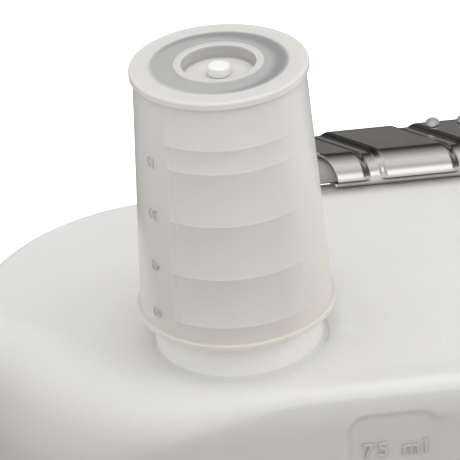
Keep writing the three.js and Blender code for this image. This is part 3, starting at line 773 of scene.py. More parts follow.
def outlineColumns():
    # points round the tank's plan with their outward direction, from the front's right end leftwards
    columns = []
    x = rightCentre.x
    while x > leftCentre.x + 0.1 * mm:
        columns.append((Vector((x, tankY0)), Vector((0, -1))))
        near = abs(x - panelX) < tank["panelWidth"] / 2 + 1.5 * mm
        x -= 0.55 * mm if near else 3.5 * mm
    turns = int(180 / tank["arcStep"])
    for step in range(turns):
        angle = math.radians(-90 - step * tank["arcStep"])
        out = Vector((math.cos(angle), math.sin(angle)))
        columns.append((leftCentre + out * endRadius, out))
    steps = int((rightCentre.x - leftCentre.x) / (5 * mm))
    for step in range(steps):
        x = leftCentre.x + (rightCentre.x - leftCentre.x) * step / steps
        columns.append((Vector((x, tankY1)), Vector((0, 1))))
    for step in range(turns):
        angle = math.radians(90 - step * tank["arcStep"])
        out = Vector((math.cos(angle), math.sin(angle)))
        columns.append((rightCentre + out * endRadius, out))
    return columns


def shoulderAt(point, out):
    # rounding radius of the deck's edge: tight all round but wide and soft at the front left
    start = neckAxis.x + shoulder["start"]
    if out.y < -0.999:
        run = start - point.x
    elif point.x < leftCentre.x:
        turn = math.degrees(math.atan2(out.y, out.x))
        turn = turn if turn < 0 else turn - 360
        run = start - leftCentre.x + math.radians(-90 - turn) * endRadius
    else:
        run = 1.0
    swell = smooth(run, 0, shoulder["swelled"]) - smooth(run, shoulder["fading"], shoulder["end"])
    return tank["edge"] + tank["wideShoulder"] * swell, math.radians(tank["shoulderSlope"]) * swell


def deckHeightAt(x, y):
    # gentle fall of the deck in front of a soft crease, and a low lug beside the neck
    u, v = x - neckAxis.x, y - neckAxis.y
    bend = 1 - math.exp(-max(0.0, u / mm - deckRelief["creaseFrom"]) / deckRelief["creaseRun"])
    crease = (deckRelief["crease"] + deckRelief["creaseSwing"] * bend) * mm
    ahead = crease - v
    fall = 0.0
    if ahead > 0:
        fall = deckRelief["fall"] * (1 - math.exp(-ahead / deckRelief["fallRun"]))
    fall *= smooth(u, *deckRelief["fallStart"]) * (1 - smooth(u, *deckRelief["fallEnd"]))
    dx = abs(u - deckRelief["lugMiddle"][0]) - deckRelief["lugHalf"][0]
    dy = abs(v - deckRelief["lugMiddle"][1]) - deckRelief["lugHalf"][1]
    lug = deckRelief["lug"] * (1 - smooth(max(dx, dy), *deckRelief["lugFlank"]))
    edge = min(x - tankX0, tankX1 - x, y - tankY0, tankY1 - y)
    return (lug - fall) * smooth(edge, *deckRelief["edgeFade"])


def tankOuterSkin():
    columns = outlineColumns()
    verts, faces, rings = [], [], []

    def addRing(points):
        rings.append(list(range(len(verts), len(verts) + len(points))))
        verts.extend(points)

    shoulders = [shoulderAt(point, out) for point, out in columns]
    for step in range(shoulder["steps"] + 1):
        ring = []
        for (point, out), (radius, slope) in zip(columns, shoulders):
            angle = slope + (math.pi / 2 - slope) * step / shoulder["steps"]
            spot = point - out * radius * (1 - math.sin(angle))
            ring.append((spot.x, spot.y, deck - radius * (math.cos(slope) - math.cos(angle))))
        addRing(ring)
    wallTops = [deck - radius * math.cos(slope) for radius, slope in shoulders]
    base = tank["edge"]
    panelReach = tank["panelHeight"] / 2 + 1.5 * mm
    panelLow, panelHigh = panelZ - panelReach, panelZ + panelReach
    levels = [deck - tank["edge"] - 1 * mm]
    while levels[-1] > base + 1 * mm:
        here = levels[-1]
        step = 0.55 * mm if panelLow < here < panelHigh + 0.6 * mm else tank["wallRow"]
        if here > panelHigh and here - step < panelHigh:
            step = here - panelHigh
        levels.append(max(base + 1 * mm, here - max(step, 0.3 * mm)))
    top, bottom = levels[0], levels[-1]
    for level in levels:
        ring = []
        share = (level - bottom) / (top - bottom)
        for (point, out), wallTop in zip(columns, wallTops):
            # rows crowd together under the wide shoulder
            z = bottom + (wallTop - 1 * mm - bottom) * share if wallTop < deck - 4 * mm else level
            inset = panelInset(point.x, z) if out.y < -0.999 else 0.0
            ring.append((point.x - out.x * inset, point.y - out.y * inset, z))
        addRing(ring)
    for step in range(7):
        angle = math.pi / 2 * step / 6
        ring = []
        for point, out in columns:
            spot = point - out * base * (1 - math.cos(angle))
            ring.append((spot.x, spot.y, base - base * math.sin(angle)))
        addRing(ring)
    footEnd = base + tank["foot"]
    for inset, z in ((base + 0.5 * mm, 0), (footEnd - 0.5 * mm, 0), (footEnd, 0.15 * mm),
                     (footEnd + 0.8 * mm, tank["pushUp"] * 0.6), (footEnd + 2 * mm, tank["pushUp"]),
                     (footEnd + 3 * mm, tank["pushUp"]), (footEnd + 12 * mm, tank["pushUp"]),
                     (footEnd + 26 * mm, tank["pushUp"])):
        addRing([(p.x - o.x * inset, p.y - o.y * inset, z) for p, o in columns])
    count = len(columns)
    for high, low in zip(rings, rings[1:]):
        for i in range(count):
            j = (i + 1) % count
            faces.append((high[i], high[j], low[j], low[i]))
    faces.append(tuple(rings[-1]))
    return verts, faces, [Vector(verts[i]) for i in rings[0]]


def deckSurface(rim):
    # flat field between the shoulder's inner edge and the foot of the neck
    foot = tank["neckRadius"] + tank["neckFillet"]
    flat, edges = [Vector((p.x, p.y)) for p in rim], []
    count = len(flat)
    edges += [(i, (i + 1) % count) for i in range(count)]
    steps = 128
    for ring, extra in enumerate((0.0, 0.5 * mm, 1.6 * mm, 3.2 * mm)):
        start = len(flat)
        for step in range(steps):
            angle = 2 * math.pi * step / steps
            out = Vector((math.cos(angle), math.sin(angle)))
            flat.append(Vector((neckAxis.x, neckAxis.y)) + out * (foot + extra))
        if ring == 0:
            edges += [(start + i, start + (i + 1) % steps) for i in range(steps)]
    gap = tank["deckSpacing"]
    row = 0
    y = tankY0 + gap
    rimPoints = [(p.x, p.y) for p in flat[:count]]
    while y < tankY1 - gap:
        x = tankX0 + gap + (gap / 2 if row % 2 else 0)
        while x < tankX1 - gap:
            beside = neckAxis.x + 16 * mm < x < neckAxis.x + 60 * mm
            fine = beside and abs(y - neckAxis.y - 8 * mm) < 22 * mm
            for dx, dy in ((0, 0), (gap / 2, 0), (0, gap / 2), (gap / 2, gap / 2)) if fine else ((0, 0),):
                spot = Vector((x + dx, y + dy))
                fromNeck = math.hypot(spot.x - neckAxis.x, spot.y - neckAxis.y)
                if insideRim(spot, rimPoints, gap * 0.6) and fromNeck > foot + 4.5 * mm:
                    flat.append(spot)
            x += gap
        y += gap * 0.87
        row += 1
    points, _, triangles, _, _, _ = delaunay_2d_cdt(flat, edges, [], 1, 1e-7)
    kept = []
    for triangle in triangles:
        middle = sum((points[i] for i in triangle), Vector((0, 0))) / 3
        fromNeck = math.hypot(middle.x - neckAxis.x, middle.y - neckAxis.y)
        if fromNeck > foot * math.cos(math.pi / steps) - 1e-6 and insideRim(middle, rimPoints, 0):
            kept.append(tuple(triangle))
    verts = [(p.x, p.y, deck + deckHeightAt(p.x, p.y)) for p in points]
    return verts, kept


def insideRim(spot, rimPoints, margin):
    # inside the rim's outline by at least the margin
    inside = False
    nearest = 1.0
    x1, y1 = rimPoints[-1]
    for x2, y2 in rimPoints:
        if (y1 > spot.y) != (y2 > spot.y) and spot.x < (x2 - x1) * (spot.y - y1) / (y2 - y1) + x1:
            inside = not inside
        if margin > 0:
            nearest = min(nearest, abs(spot.x - x2) + abs(spot.y - y2))
        x1, y1 = x2, y2
    return inside and nearest > margin


def neckSkin():
    # fillet, upstand and rounded mouth; it ends at the mouth's inner edge
    segments = 128
    fillet, radius = tank["neckFillet"], tank["neckRadius"]
    profile = []
    for step in range(6):
        angle = math.pi / 2 * step / 5
        profile.append((radius + fillet - fillet * math.sin(angle), deck + fillet - fillet * math.cos(angle)))
    mouth = tank["mouthRound"]
    profile += [(radius, deck + fillet + 0.4 * mm), (radius, neckTop - 0.9 * mm), (radius, neckTop - mouth)]
    for step in range(1, 5):
        angle = math.pi / 2 * step / 4
        profile.append((radius - mouth * (1 - math.cos(angle)), neckTop - mouth * (1 - math.sin(angle))))
    verts, faces = [], []
    for r, z in profile:
        for step in range(segments):
            angle = 2 * math.pi * step / segments
            verts.append((neckAxis.x + r * math.cos(angle), neckAxis.y + r * math.sin(angle), z))
    for row in range(len(profile) - 1):
        for step in range(segments):
            a, b = row * segments + step, row * segments + (step + 1) % segments
            faces.append((a, b, b + segments, a + segments))
    return verts, faces


def raisedFigures(name, text, size, rise, spacing=1.0):
    # a short line of raised figures as a closed mesh, flat in X and Y, standing on Z = 0
    curve = bpy.data.curves.new(name, "FONT")
    curve.body = text
    curve.size = size
    curve.extrude = rise / 2
    curve.bevel_depth = rise * 0.2
    curve.bevel_resolution = 1
    curve.space_character = spacing
    curve.align_x = "CENTER"
    curve.align_y = "CENTER"
    curve.resolution_u = 4
    holder = makeObject(name, curve)
    graph = bpy.context.evaluated_depsgraph_get()
    mesh = bpy.data.meshes.new_from_object(holder.evaluated_get(graph))
    bpy.data.objects.remove(holder)
    cleanUp(mesh, 1e-6)
    return mesh


def buildTank():
    verts, faces, rim = tankOuterSkin()
    for moreVerts, moreFaces in (deckSurface(rim), neckSkin()):
        start = len(verts)
        verts += moreVerts
        faces += [tuple(i + start for i in face) for face in moreFaces]
    shell = makeObject("tankShell", cleanUp(meshFrom("tankShell", verts, faces), 2e-6))
    thick = shell.modifiers.new("wall", "SOLIDIFY")
    thick.thickness = tank["wall"]
    thick.offset = -1
    thick.use_even_offset = True
    bakeModifiers(shell)
    figures = raisedFigures("doseFigures", "75 ml", tank["figureSize"], tank["figureRise"] * 2,
                            tank["figureSpacing"])
    stand = Matrix.Translation((panelX, tankY0 + tank["panelDepth"], panelZ + tank["figureLift"]))
    stand = stand @ Matrix.Rotation(math.pi / 2, 4, "X")
    figures.transform(stand)
    joinInto(shell, [makeObject("doseFigures", figures)])
    shell.data.materials.clear()
    shell.data.materials.append(milkyTank)
    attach(shell, "bottle")
    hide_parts("bottle_body")
    return shell


tankShell = buildTank()
print("tank built:", len(tankShell.data.polygons), "faces")


# Geometry node trees

def newGeometryTree(name, inputs):
    tree = bpy.data.node_groups.new(name, "GeometryNodeTree")
    tree.interface.new_socket("Geometry", in_out="INPUT", socket_type="NodeSocketGeometry")
    for label, kind in inputs:
        tree.interface.new_socket(label, in_out="INPUT", socket_type=kind)
    tree.interface.new_socket("Geometry", in_out="OUTPUT", socket_type="NodeSocketGeometry")
    return tree, tree.nodes.new("NodeGroupInput"), tree.nodes.new("NodeGroupOutput")


def finishTree(tree, given, out, geometry):
    # every tree ends in real faces with their finish on
    realize = addNode(tree, "GeometryNodeRealizeInstances")
    paint = addNode(tree, "GeometryNodeSetMaterial")
    tree.links.new(geometry, realize.inputs["Geometry"])
    tree.links.new(realize.outputs["Geometry"], paint.inputs["Geometry"])
    tree.links.new(given.outputs["Finish"], paint.inputs["Material"])
    tree.links.new(paint.outputs["Geometry"], out.inputs["Geometry"])
    return tree


def rivetTree():
    # one rivet on each point, each turned a little differently
    tree, given, out = newGeometryTree("rivetRow", [
        ("Rivet", "NodeSocketObject"), ("Seed", "NodeSocketInt"), ("Finish", "NodeSocketMaterial")])
    shape = addNode(tree, "GeometryNodeObjectInfo")
    tree.links.new(given.outputs["Rivet"], shape.inputs["Object"])
    turn = addNode(tree, "FunctionNodeRandomValue", data_type="FLOAT_VECTOR")
    turn.inputs[0].default_value = (0, 0, 0)
    turn.inputs[1].default_value = (0, 0, 2 * math.pi)
    tree.links.new(given.outputs["Seed"], turn.inputs["Seed"])
    spread = addNode(tree, "GeometryNodeInstanceOnPoints")
    tree.links.new(given.outputs["Geometry"], spread.inputs["Points"])
    tree.links.new(shape.outputs["Geometry"], spread.inputs["Instance"])
    tree.links.new(turn.outputs[0], spread.inputs["Rotation"])
    return finishTree(tree, given, out, spread.outputs["Instances"])


def grow(name, data, tree, values):
    # run a tree on a mesh and keep the result as a plain mesh
    seed = makeObject(name, data)
    modifier = seed.modifiers.new("grow", "NODES")
    modifier.node_group = tree
    for item in tree.interface.items_tree:
        if item.in_out == "INPUT" and item.name in values:
            modifier[item.identifier] = values[item.name]
    graph = bpy.context.evaluated_depsgraph_get()
    mesh = bpy.data.meshes.new_from_object(seed.evaluated_get(graph))
    bpy.data.objects.remove(seed)
    result = makeObject(name, cleanUp(mesh))
    result.data.shade_smooth()
    return result


def pointCloud(name, spots):
    mesh = bpy.data.meshes.new(name)
    mesh.from_pydata([tuple(spot) for spot in spots], [], [])
    return mesh


def finished(piece, material, body, nodes):
    # finish, body, replaced nodes and material slot of one piece
    piece.data.materials.clear()
    piece.data.materials.append(material)
    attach(piece, body)
    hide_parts(*nodes)
    return piece


rivetRow = rivetTree()


# Measuring cup, seal ring and plug; heights in millimetres above the deck

cup = dict(
    top=69.3, rim=9.4, rimRadius=21.9, endRadius=18.85, wall=1.2, endThickness=1.8, flangeRadius=19.65,
    lipRadius=22.5, lipHeight=1.5, bossRadius=9.95, wellRadius=8.2, bossRise=0.2, wellDepth=3.0,
    snapTop=64.9, snapLip=0.8, plugHole=1.15, plugRadius=2.5, barb=0.8,
    ribRise=0.13, ribHalf=0.42, ribSweep=86.0, rings=(57.8, 52.2, 39.7, 26.9, 15.1),
    edgeRibs=(-38.0, -43.0), edgeRibHalf=1.3,
    figures=((52.2, "15"), (39.7, "30"), (26.9, "45"), (15.1, "60")), figureSize=3.3, figureTurn=-58.0,
    figureRise=0.08)
cupShoulder = cup["top"] - cup["endThickness"]


def cupOuter(z):
    share = (z - cup["rim"]) / (cupShoulder - cup["rim"])
    return cup["rimRadius"] + share * (cup["endRadius"] - cup["rimRadius"])


def cupInner(z):
    return cupOuter(z) - cup["wall"]


def aboveDeck(points):
    return [(r * mm, deck + z * mm, soft * mm) for r, z, soft in points]


def onCup(turn, z, proud=0.0):
    # a place on the cup's wall, turned from the front about the cup's axis
    angle = math.radians(turn - 90)
    radius = cupOuter(z) * mm + proud
    x, y = radius * math.cos(angle), radius * math.sin(angle)
    return Vector((neckAxis.x + x, neckAxis.y + y, deck + z * mm))


def cupFigures(level, text):
    # figures read the right way up when the cup is the right way up
    mesh = raisedFigures("cupFigures" + text, text, cup["figureSize"] * mm, cup["figureRise"] * mm)
    for vertex in mesh.vertices:
        z = level - vertex.co.y / mm
        turn = cup["figureTurn"] - math.degrees(vertex.co.x / (cupOuter(z) * mm))
        vertex.co = onCup(turn, z, vertex.co.z + cup["figureRise"] * 0.4 * mm)
    return makeObject("cupFigures" + text, cleanUp(mesh))


def ribLift(turn, z):
    # how far the moulded volume marks stand out at a place on the wall
    half = cup["ribSweep"] / 2
    lift = 0.0
    if abs(turn) < half:
        for level in cup["rings"]:
            lift = max(lift, 1 - smooth(abs(z - level), 0, cup["ribHalf"]))
    if min(cup["rings"]) - cup["ribHalf"] < z < max(cup["rings"]) + cup["ribHalf"]:
        for edge in cup["edgeRibs"]:
            lift = max(lift, 1 - smooth(abs(turn - edge), 0, cup["edgeRibHalf"]))
    return lift * cup["ribRise"]


def embossRibs(shell):
    # push the outer wall's points out along the volume marks
    for vertex in shell.data.vertices:
        x, y, z = vertex.co.x - neckAxis.x, vertex.co.y - neckAxis.y, (vertex.co.z - deck) / mm
        if abs(math.hypot(x, y) / mm - cupOuter(z)) > 0.05:
            continue
        turn = (math.degrees(math.atan2(y, x)) + 90 + 180) % 360 - 180
        vertex.co = onCup(turn, z, ribLift(turn, z) * mm)


def buildCup():
    bossTop = cup["top"] + cup["bossRise"]
    wellBottom = bossTop - cup["wellDepth"]
    lipTop = cup["rim"] + cup["lipHeight"]
    snapBottom = cup["snapTop"] - 1
    rows = [level + cup["ribHalf"] * k / 2 for level in cup["rings"] for k in (2, 1, 0, -1, -2)]
    shell = turnedPiece("measuringCup", aboveDeck([
        (cup["plugHole"], wellBottom, 0.1), (cup["wellRadius"], wellBottom, 0.6),
        (cup["wellRadius"], bossTop, 0.35), (cup["bossRadius"], bossTop, 0.15),
        (cup["bossRadius"], cup["top"], 0.05),
        (cup["flangeRadius"], cup["top"], 0.6), (cup["flangeRadius"], cupShoulder, 0.5),
        (cupOuter(cupShoulder), cupShoulder, 0.4)] + [(cupOuter(z), z, 0) for z in rows] + [
        (cupOuter(lipTop), lipTop, 0.3),
        (cup["lipRadius"], lipTop, 0.6), (cup["lipRadius"], cup["rim"], 0.45),
        (cupInner(cup["rim"]), cup["rim"], 0.4),
        (cupInner(cupShoulder), cupShoulder, 0.6), (cup["bossRadius"], cupShoulder, 0.2),
        (cup["bossRadius"], cup["snapTop"], 0.1), (cup["bossRadius"] + cup["snapLip"], cup["snapTop"], 0.15),
        (cup["bossRadius"], snapBottom, 0.3), (cup["plugHole"], snapBottom, 0.1)]), neckAxis, 360)
    embossRibs(shell)
    joinInto(shell, [cupFigures(level, text) for level, text in cup["figures"]])
    return finished(shell, cupMilk, "cup", ["measuring_cup"])


def buildCupFittings():
    low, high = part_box("cup_seal_ring")
    outer = (high.x - low.x) / 2 / mm
    z0, z1 = (low.z - deck) / mm, (high.z - deck) / mm
    ring = turnedPiece("cupSealRing", aboveDeck([
        (cup["bossRadius"] + 0.3, z0, 0.3), (outer, z0, 0.3), (outer, z1, 0.3),
        (cup["bossRadius"] + 0.3, z1, 0.3)]), neckAxis, 128)
    finished(ring, sealGrey, "seal", ["cup_seal_ring"])
    low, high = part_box("cup_centre_plug")
    tail, tip = (low.z - deck) / mm, (high.z - deck) / mm
    headBase = cup["top"] + cup["bossRise"] - cup["wellDepth"] + 0.15
    shank = cup["plugHole"] - 0.15
    plug = turnedPiece("cupCentrePlug", aboveDeck([
        (0, tail, 0), (1.5, tail, 0.2), (2.0, tail + cup["barb"], 0.1), (shank, tail + cup["barb"], 0.05),
        (shank, headBase, 0.05), (cup["plugRadius"], headBase, 0.15), (cup["plugRadius"], tip, 0.55),
        (0, tip, 0)]), neckAxis, 64, closed=False)
    finished(plug, plugWhite, "cup", ["cup_centre_plug"])


measuringCup = buildCup()
buildCupFittings()
print("cup built:", len(measuringCup.data.polygons), "faces")


# Spout and gasket; heights in millimetres above the deck

spout = dict(wall=1.3, sleeveOuter=16.7, flangeBase=13.65, flange=1.5, collar=8.5, collarWall=1.4, foot=14.0,
             tip=12.3, drainWidth=5.0, drainHeight=7.0, drainCorner=1.2, gap=0.3)


def spoutCollar(z):
    # the collar fits inside the cup's wall with the gap between them
    return cupInner(z) - spout["gap"]


def drainCutter():
    # rounded block that cuts the drip hole through the foot of the spout
    bm = bmesh.new()
    bmesh.ops.create_cube(bm, size=1.0)
    bmesh.ops.scale(bm, vec=(spout["drainWidth"] * mm, 4 * mm, spout["drainHeight"] * mm), verts=bm.verts)
    rise = spout["flangeBase"] + spout["flange"] + spout["drainHeight"] / 2
    middle = Vector((neckAxis.x, neckAxis.y + (spout["foot"] - spout["wall"] / 2) * mm, deck + rise * mm))
    bmesh.ops.translate(bm, vec=middle, verts=bm.verts)
    across = [e for e in bm.edges if abs(e.verts[0].co.y - e.verts[1].co.y) > 1 * mm]
    bmesh.ops.bevel(bm, geom=across, offset=spout["drainCorner"] * mm, segments=4, affect="EDGES",
                    profile=0.5)
    mesh = bpy.data.meshes.new("drainCutter")
    bm.to_mesh(mesh)
    bm.free()
    return makeObject("drainCutter", mesh)


def buildSpout():
    low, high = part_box("pour_spout")
    sleeveLow, tip = (low.z - deck) / mm, (high.z - deck) / mm
    base, top = spout["flangeBase"], spout["flangeBase"] + spout["flange"]
    collarTop = base + spout["collar"]
    sleeveInner = spout["sleeveOuter"] - spout["wall"]
    body = turnedPiece("pourSpout", aboveDeck([
        (sleeveInner, sleeveLow, 0.3), (spout["sleeveOuter"], sleeveLow, 0.4),
        (spout["sleeveOuter"], base, 0.1),
        (spoutCollar(base), base, 0.3), (spoutCollar(collarTop), collarTop, 0.5),
        (spoutCollar(collarTop) - spout["collarWall"], collarTop, 0.5),
        (spoutCollar(top) - spout["collarWall"], top, 0.8),
        (spout["foot"], top, 0.8), (spout["tip"], tip, 0.4), (spout["tip"] - spout["wall"], tip, 0.4),
        (spout["foot"] - spout["wall"], top, 0.4), (sleeveInner, base, 0.4)]), neckAxis, 128)
    tool = drainCutter()
    cut = body.modifiers.new("drain", "BOOLEAN")
    cut.operation = "DIFFERENCE"
    cut.object = tool
    bakeModifiers(body)
    bpy.data.objects.remove(tool)
    finished(body, spoutWhite, "bottle", ["pour_spout"])
    low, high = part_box("neck_gasket")
    z0, z1 = (low.z - deck) / mm, (high.z - deck) / mm
    outer = (high.x - low.x) / 2 / mm
    gasket = turnedPiece("neckGasket", aboveDeck([
        (outer - 2, z0, 0.3), (outer, z0, 0.3), (outer, z1, 0.3), (outer - 2, z1, 0.3)]), neckAxis, 128)
    finished(gasket, sealGrey, "bottle", ["neck_gasket"])


buildSpout()
print("spout and gasket built")


# Carry handle; sizes in millimetres, heights above the deck

handle = dict(
    sheet=0.9, length=89.5, slantFront=0.4, slantTop=1.0, endSlantFront=0.7, front=5.7, overhang=11.0,
    rise=7.1, frontRound=5.0, lipStraight=1.6, lipFold=1.6, gap=0.3, padRise=0.9, padPitch=22.3,
    padLength=18.1, padFirst=-31.7, flank=2.2, padFoot=1.9, padFootSoft=0.3, edgeRoll=0.7, columnStep=0.45, rowStep=0.4,
    edgeBevel=0.15, lipCorner=0.7, ridgeBend=1.2, shadeFull=0.15, shadeEnd=0.5,
    liner=0.8, linerBack=4.0, linerFoot=0.5)
handleY0 = tankY1 / mm - handle["front"]
handleY1 = tankY1 / mm + handle["overhang"]
handleMid = (handleY0 + handleY1) / 2
ridgeY = handleY0 + handle["frontRound"]


def handleLine():
    # outer line of the plain sheet, from the fold under the lip to the back edge, as (y, z)
    corner, roll = handle["lipCorner"], handle["edgeRoll"]
    points = [Vector((handleY0 + handle["lipFold"] + handle["sheet"], handle["gap"]))]
    for step in range(7):
        a = math.pi / 2 * step / 6
        y, z = corner - corner * math.sin(a), corner - corner * math.cos(a)
        points.append(Vector((handleY0 + y, handle["gap"] + z)))
    for step in range(25):
        a = math.pi / 2 * step / 24
        y = handleY0 + handle["frontRound"] * (1 - math.cos(a))
        up = (handle["rise"] - handle["lipStraight"]) * math.sin(a)
        points.append(Vector((y, handle["lipStraight"] + up)))
    for step in range(7):
        a = math.pi / 2 * step / 6
        y, z = handleY1 - roll + roll * math.sin(a), handle["rise"] - roll + roll * math.cos(a)
        points.append(Vector((y, z)))
    return points


def evenSteps(points, step):
    # the same line in short even steps
    lengths = [0.0]
    for a, b in zip(points, points[1:]):
        lengths.append(lengths[-1] + (b - a).length)
    count = int(lengths[-1] / step) + 1
    out, k = [], 0
    for i in range(count + 1):
        s = lengths[-1] * i / count
        while k < len(points) - 2 and lengths[k + 1] < s:
            k += 1
        span = lengths[k + 1] - lengths[k]
        out.append(points[k].lerp(points[k + 1], (s - lengths[k]) / span if span > 0 else 0))
    return out


def slantShift(y, frontSlant):
    # sideways run of a slanted line, zero at the handle's mid depth and with a soft bend at the ridge
    behind = y - ridgeY
    bend = handle["ridgeBend"]
    soft = (behind + math.sqrt(behind * behind + bend * bend)) / 2
    ahead = behind - soft
    zero = handleMid - ridgeY
    return -handle["slantTop"] * (soft - zero) - frontSlant * ahead


def padShare(along):
    # 1 on a raised pad, 0 in a groove, with soft flanks between
    start = handle["padFirst"] - handle["padPitch"]
    half = handle["flank"] / 2
    share = 0.0
    while start < handle["length"] / 2:
        end = start + handle["padLength"]
        rising, falling = smooth(along, start - half, start + half), smooth(along, end - half, end + half)
        share = max(share, min(rising, 1 - falling))
        start += handle["padPitch"]
    return share


def buildHandle():
    line = evenSteps(handleLine(), handle["rowStep"])
    rows = len(line)
    columns = int(handle["length"] / handle["columnStep"])
    half = handle["length"] / 2
    footEnd = handle["padFoot"] + handle["padFootSoft"]
    # the row where the pads begin, past the fold of the lip
    footRow = min(range(5, rows), key=lambda i: abs(line[i].y - handle["padFoot"]))
    verts, faces = [], []
    for depth in (0.0, handle["sheet"]):
        for i in range(rows):
            along = line[min(i + 1, rows - 1)] - line[max(i - 1, 0)]
            side = Vector((-along.y, along.x)).normalized()
            lean = side if line[i].x < ridgeY else Vector((0, 1))
            lift = smooth(line[i].y, handle["padFoot"], footEnd) if i >= footRow else 0.0
            endShift = slantShift(line[i].x, handle["endSlantFront"])
            padShift = slantShift(line[i].x, handle["slantFront"])
            for j in range(columns + 1):
                x = -half + handle["length"] * j / columns + endShift
                raised = handle["padRise"] * padShare(x - padShift) * lift
                spot = line[i] + lean * raised - side * depth
                verts.append((x * mm, spot.x * mm, deck + spot.y * mm))
    width = columns + 1
    under = rows * width
    for i in range(rows - 1):
        for j in range(columns):
            a, b = i * width + j, i * width + j + 1
            faces.append((a, b, b + width, a + width))
            faces.append((under + a + width, under + b + width, under + b, under + a))
    for i in range(rows - 1):
        for j in (0, columns):
            a, b = i * width + j, (i + 1) * width + j
            faces.append((a, b, under + b, under + a))
    for j in range(columns):
        for i in (0, rows - 1):
            a, b = i * width + j, i * width + j + 1
            faces.append((a, b, under + b, under + a))
    plate = makeObject("handlePlate", cleanUp(meshFrom("handlePlate", verts, faces)))
    soften = plate.modifiers.new("edges", "BEVEL")
    soften.width = handle["edgeBevel"] * mm
    soften.segments = 2
    soften.limit_method = "ANGLE"
    soften.angle_limit = math.radians(60)
    bakeModifiers(plate)
    plate.data.shade_smooth()
    shade = plate.data.attributes.new("footShade", "FLOAT", "POINT")
    foot = handle["padFoot"] + handle["padFootSoft"] / 2
    for vertex in plate.data.vertices:
        y, z = vertex.co.y / mm, (vertex.co.z - deck) / mm
        if y < ridgeY:
            near = 1 - smooth(abs(z - foot), handle["shadeFull"], handle["shadeEnd"])
            along = vertex.co.x / mm - slantShift(y, handle["slantFront"])
            shade.data[vertex.index].value = near * padShare(along)
    return finished(plate, chrome, "handle", ["handle_plate"])


def buildLiner():
    # grey strip one clearance behind the rounded front, with a hooked foot inside the lip
    low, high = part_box("handle_liner")
    across = handle["frontRound"] - handle["sheet"] - handle["gap"]
    up = handle["rise"] - handle["sheet"] - handle["lipStraight"] - handle["gap"]
    foot = handleY0 + handle["sheet"] + handle["lipFold"] + handle["gap"]
    thick, bottom, back = handle["liner"], handle["lipStraight"], ridgeY + handle["linerBack"]
    innerEnd = math.pi - math.asin(thick / (up - thick))
    loop = [(foot, bottom)]
    for step in range(17):
        t = math.pi - math.pi / 2 * step / 16
        loop.append((ridgeY + across * math.cos(t), bottom + up * math.sin(t)))
    loop += [(back, bottom + up), (back, bottom + up - thick)]
    for step in range(17):
        t = math.pi / 2 + (innerEnd - math.pi / 2) * step / 16
        loop.append((ridgeY + (across - thick) * math.cos(t), bottom + (up - thick) * math.sin(t)))
    loop += [(foot + thick, bottom + thick), (foot + thick, handle["linerFoot"]), (foot, handle["linerFoot"])]
    steps = 24
    verts, faces = [], []
    for step in range(steps + 1):
        x = low.x + (high.x - low.x) * step / steps
        verts += [(x, y * mm, deck + z * mm) for y, z in loop]
    count = len(loop)
    for step in range(steps):
        for i in range(count):
            a, b = step * count + i, step * count + (i + 1) % count
            faces.append((a, b, b + count, a + count))
    faces += [tuple(range(count)), tuple(range(steps * count, (steps + 1) * count))]
    strip = makeObject("handleLiner", cleanUp(meshFrom("handleLiner", verts, faces)))
    soften = strip.modifiers.new("edges", "BEVEL")
    soften.width = handle["edgeBevel"] * mm
    soften.segments = 2
    soften.limit_method = "ANGLE"
    soften.angle_limit = math.radians(50)
    bakeModifiers(strip)
    strip.data.shade_smooth()
    return finished(strip, linerGrey, "handle", ["handle_liner"])


handlePlate = buildHandle()
buildLiner()
print("handle built:", len(handlePlate.data.polygons), "faces")


# Hinge and rivets; sizes in millimetres

hinge = dict(width=32.0, knuckle=14.0, barrel=2.2, pin=1.2, pinHead=1.9, pinHeadLength=0.9, leaf=1.0,
             strip=0.7, gap=0.3, rowStep=2.0, bevel=0.12, curlShare=0.85, curlSweep=-330, baseCurl=167,
             leafCurl=100)
rivet = dict(shank=1.0, head=1.8, dome=1.5, rim=0.25, grip=2.9, baseGrip=3.6, bulb=1.8)


def foldedSheet(name, path, spans, thickness):
    # path is (y, z) along the outer side; each span says how many path points a stretch of X has
    cuts = sorted({x for x0, x1, _ in spans for x in (x0, x1)})
    xs = []
    for a, b in zip(cuts, cuts[1:]):
        pieces = max(1, int((b - a) / hinge["rowStep"]))
        xs += [a + (b - a) * k / pieces for k in range(pieces)]
    xs.append(cuts[-1])
    verts = [(x * mm, y * mm, z * mm) for y, z in path for x in xs]
    faces = []
    for i in range(len(path) - 1):
        for j in range(len(xs) - 1):
            middle = (xs[j] + xs[j + 1]) / 2
            reach = max((n for x0, x1, n in spans if x0 <= middle <= x1), default=0)
            if i < reach - 1:
                a = i * len(xs) + j
                faces.append((a, a + 1, a + 1 + len(xs), a + len(xs)))
    mesh = meshFrom(name, verts, faces)
    bm = bmesh.new()
    bm.from_mesh(mesh)
    bmesh.ops.delete(bm, geom=[v for v in bm.verts if not v.link_faces], context="VERTS")
    bm.to_mesh(mesh)
    bm.free()
    piece = makeObject(name, mesh)
    thick = piece.modifiers.new("sheet", "SOLIDIFY")
    thick.thickness = thickness * mm
    thick.offset = -1
    thick.use_even_offset = True
    edge = piece.modifiers.new("edges", "BEVEL")
    edge.width = hinge["bevel"] * mm
    edge.segments = 2
    edge.limit_method = "ANGLE"
    edge.angle_limit = math.radians(60)
    bakeModifiers(piece)
    cleanUp(piece.data)
    piece.data.shade_smooth()
    return piece


def roundBarrel(axisY, axisZ, start, sweep, steps=24):
    radius = hinge["barrel"]
    out = []
    for step in range(steps + 1):
        a = math.radians(start + sweep * step / steps)
        out.append((axisY + radius * math.cos(a), axisZ + radius * math.sin(a)))
    return out


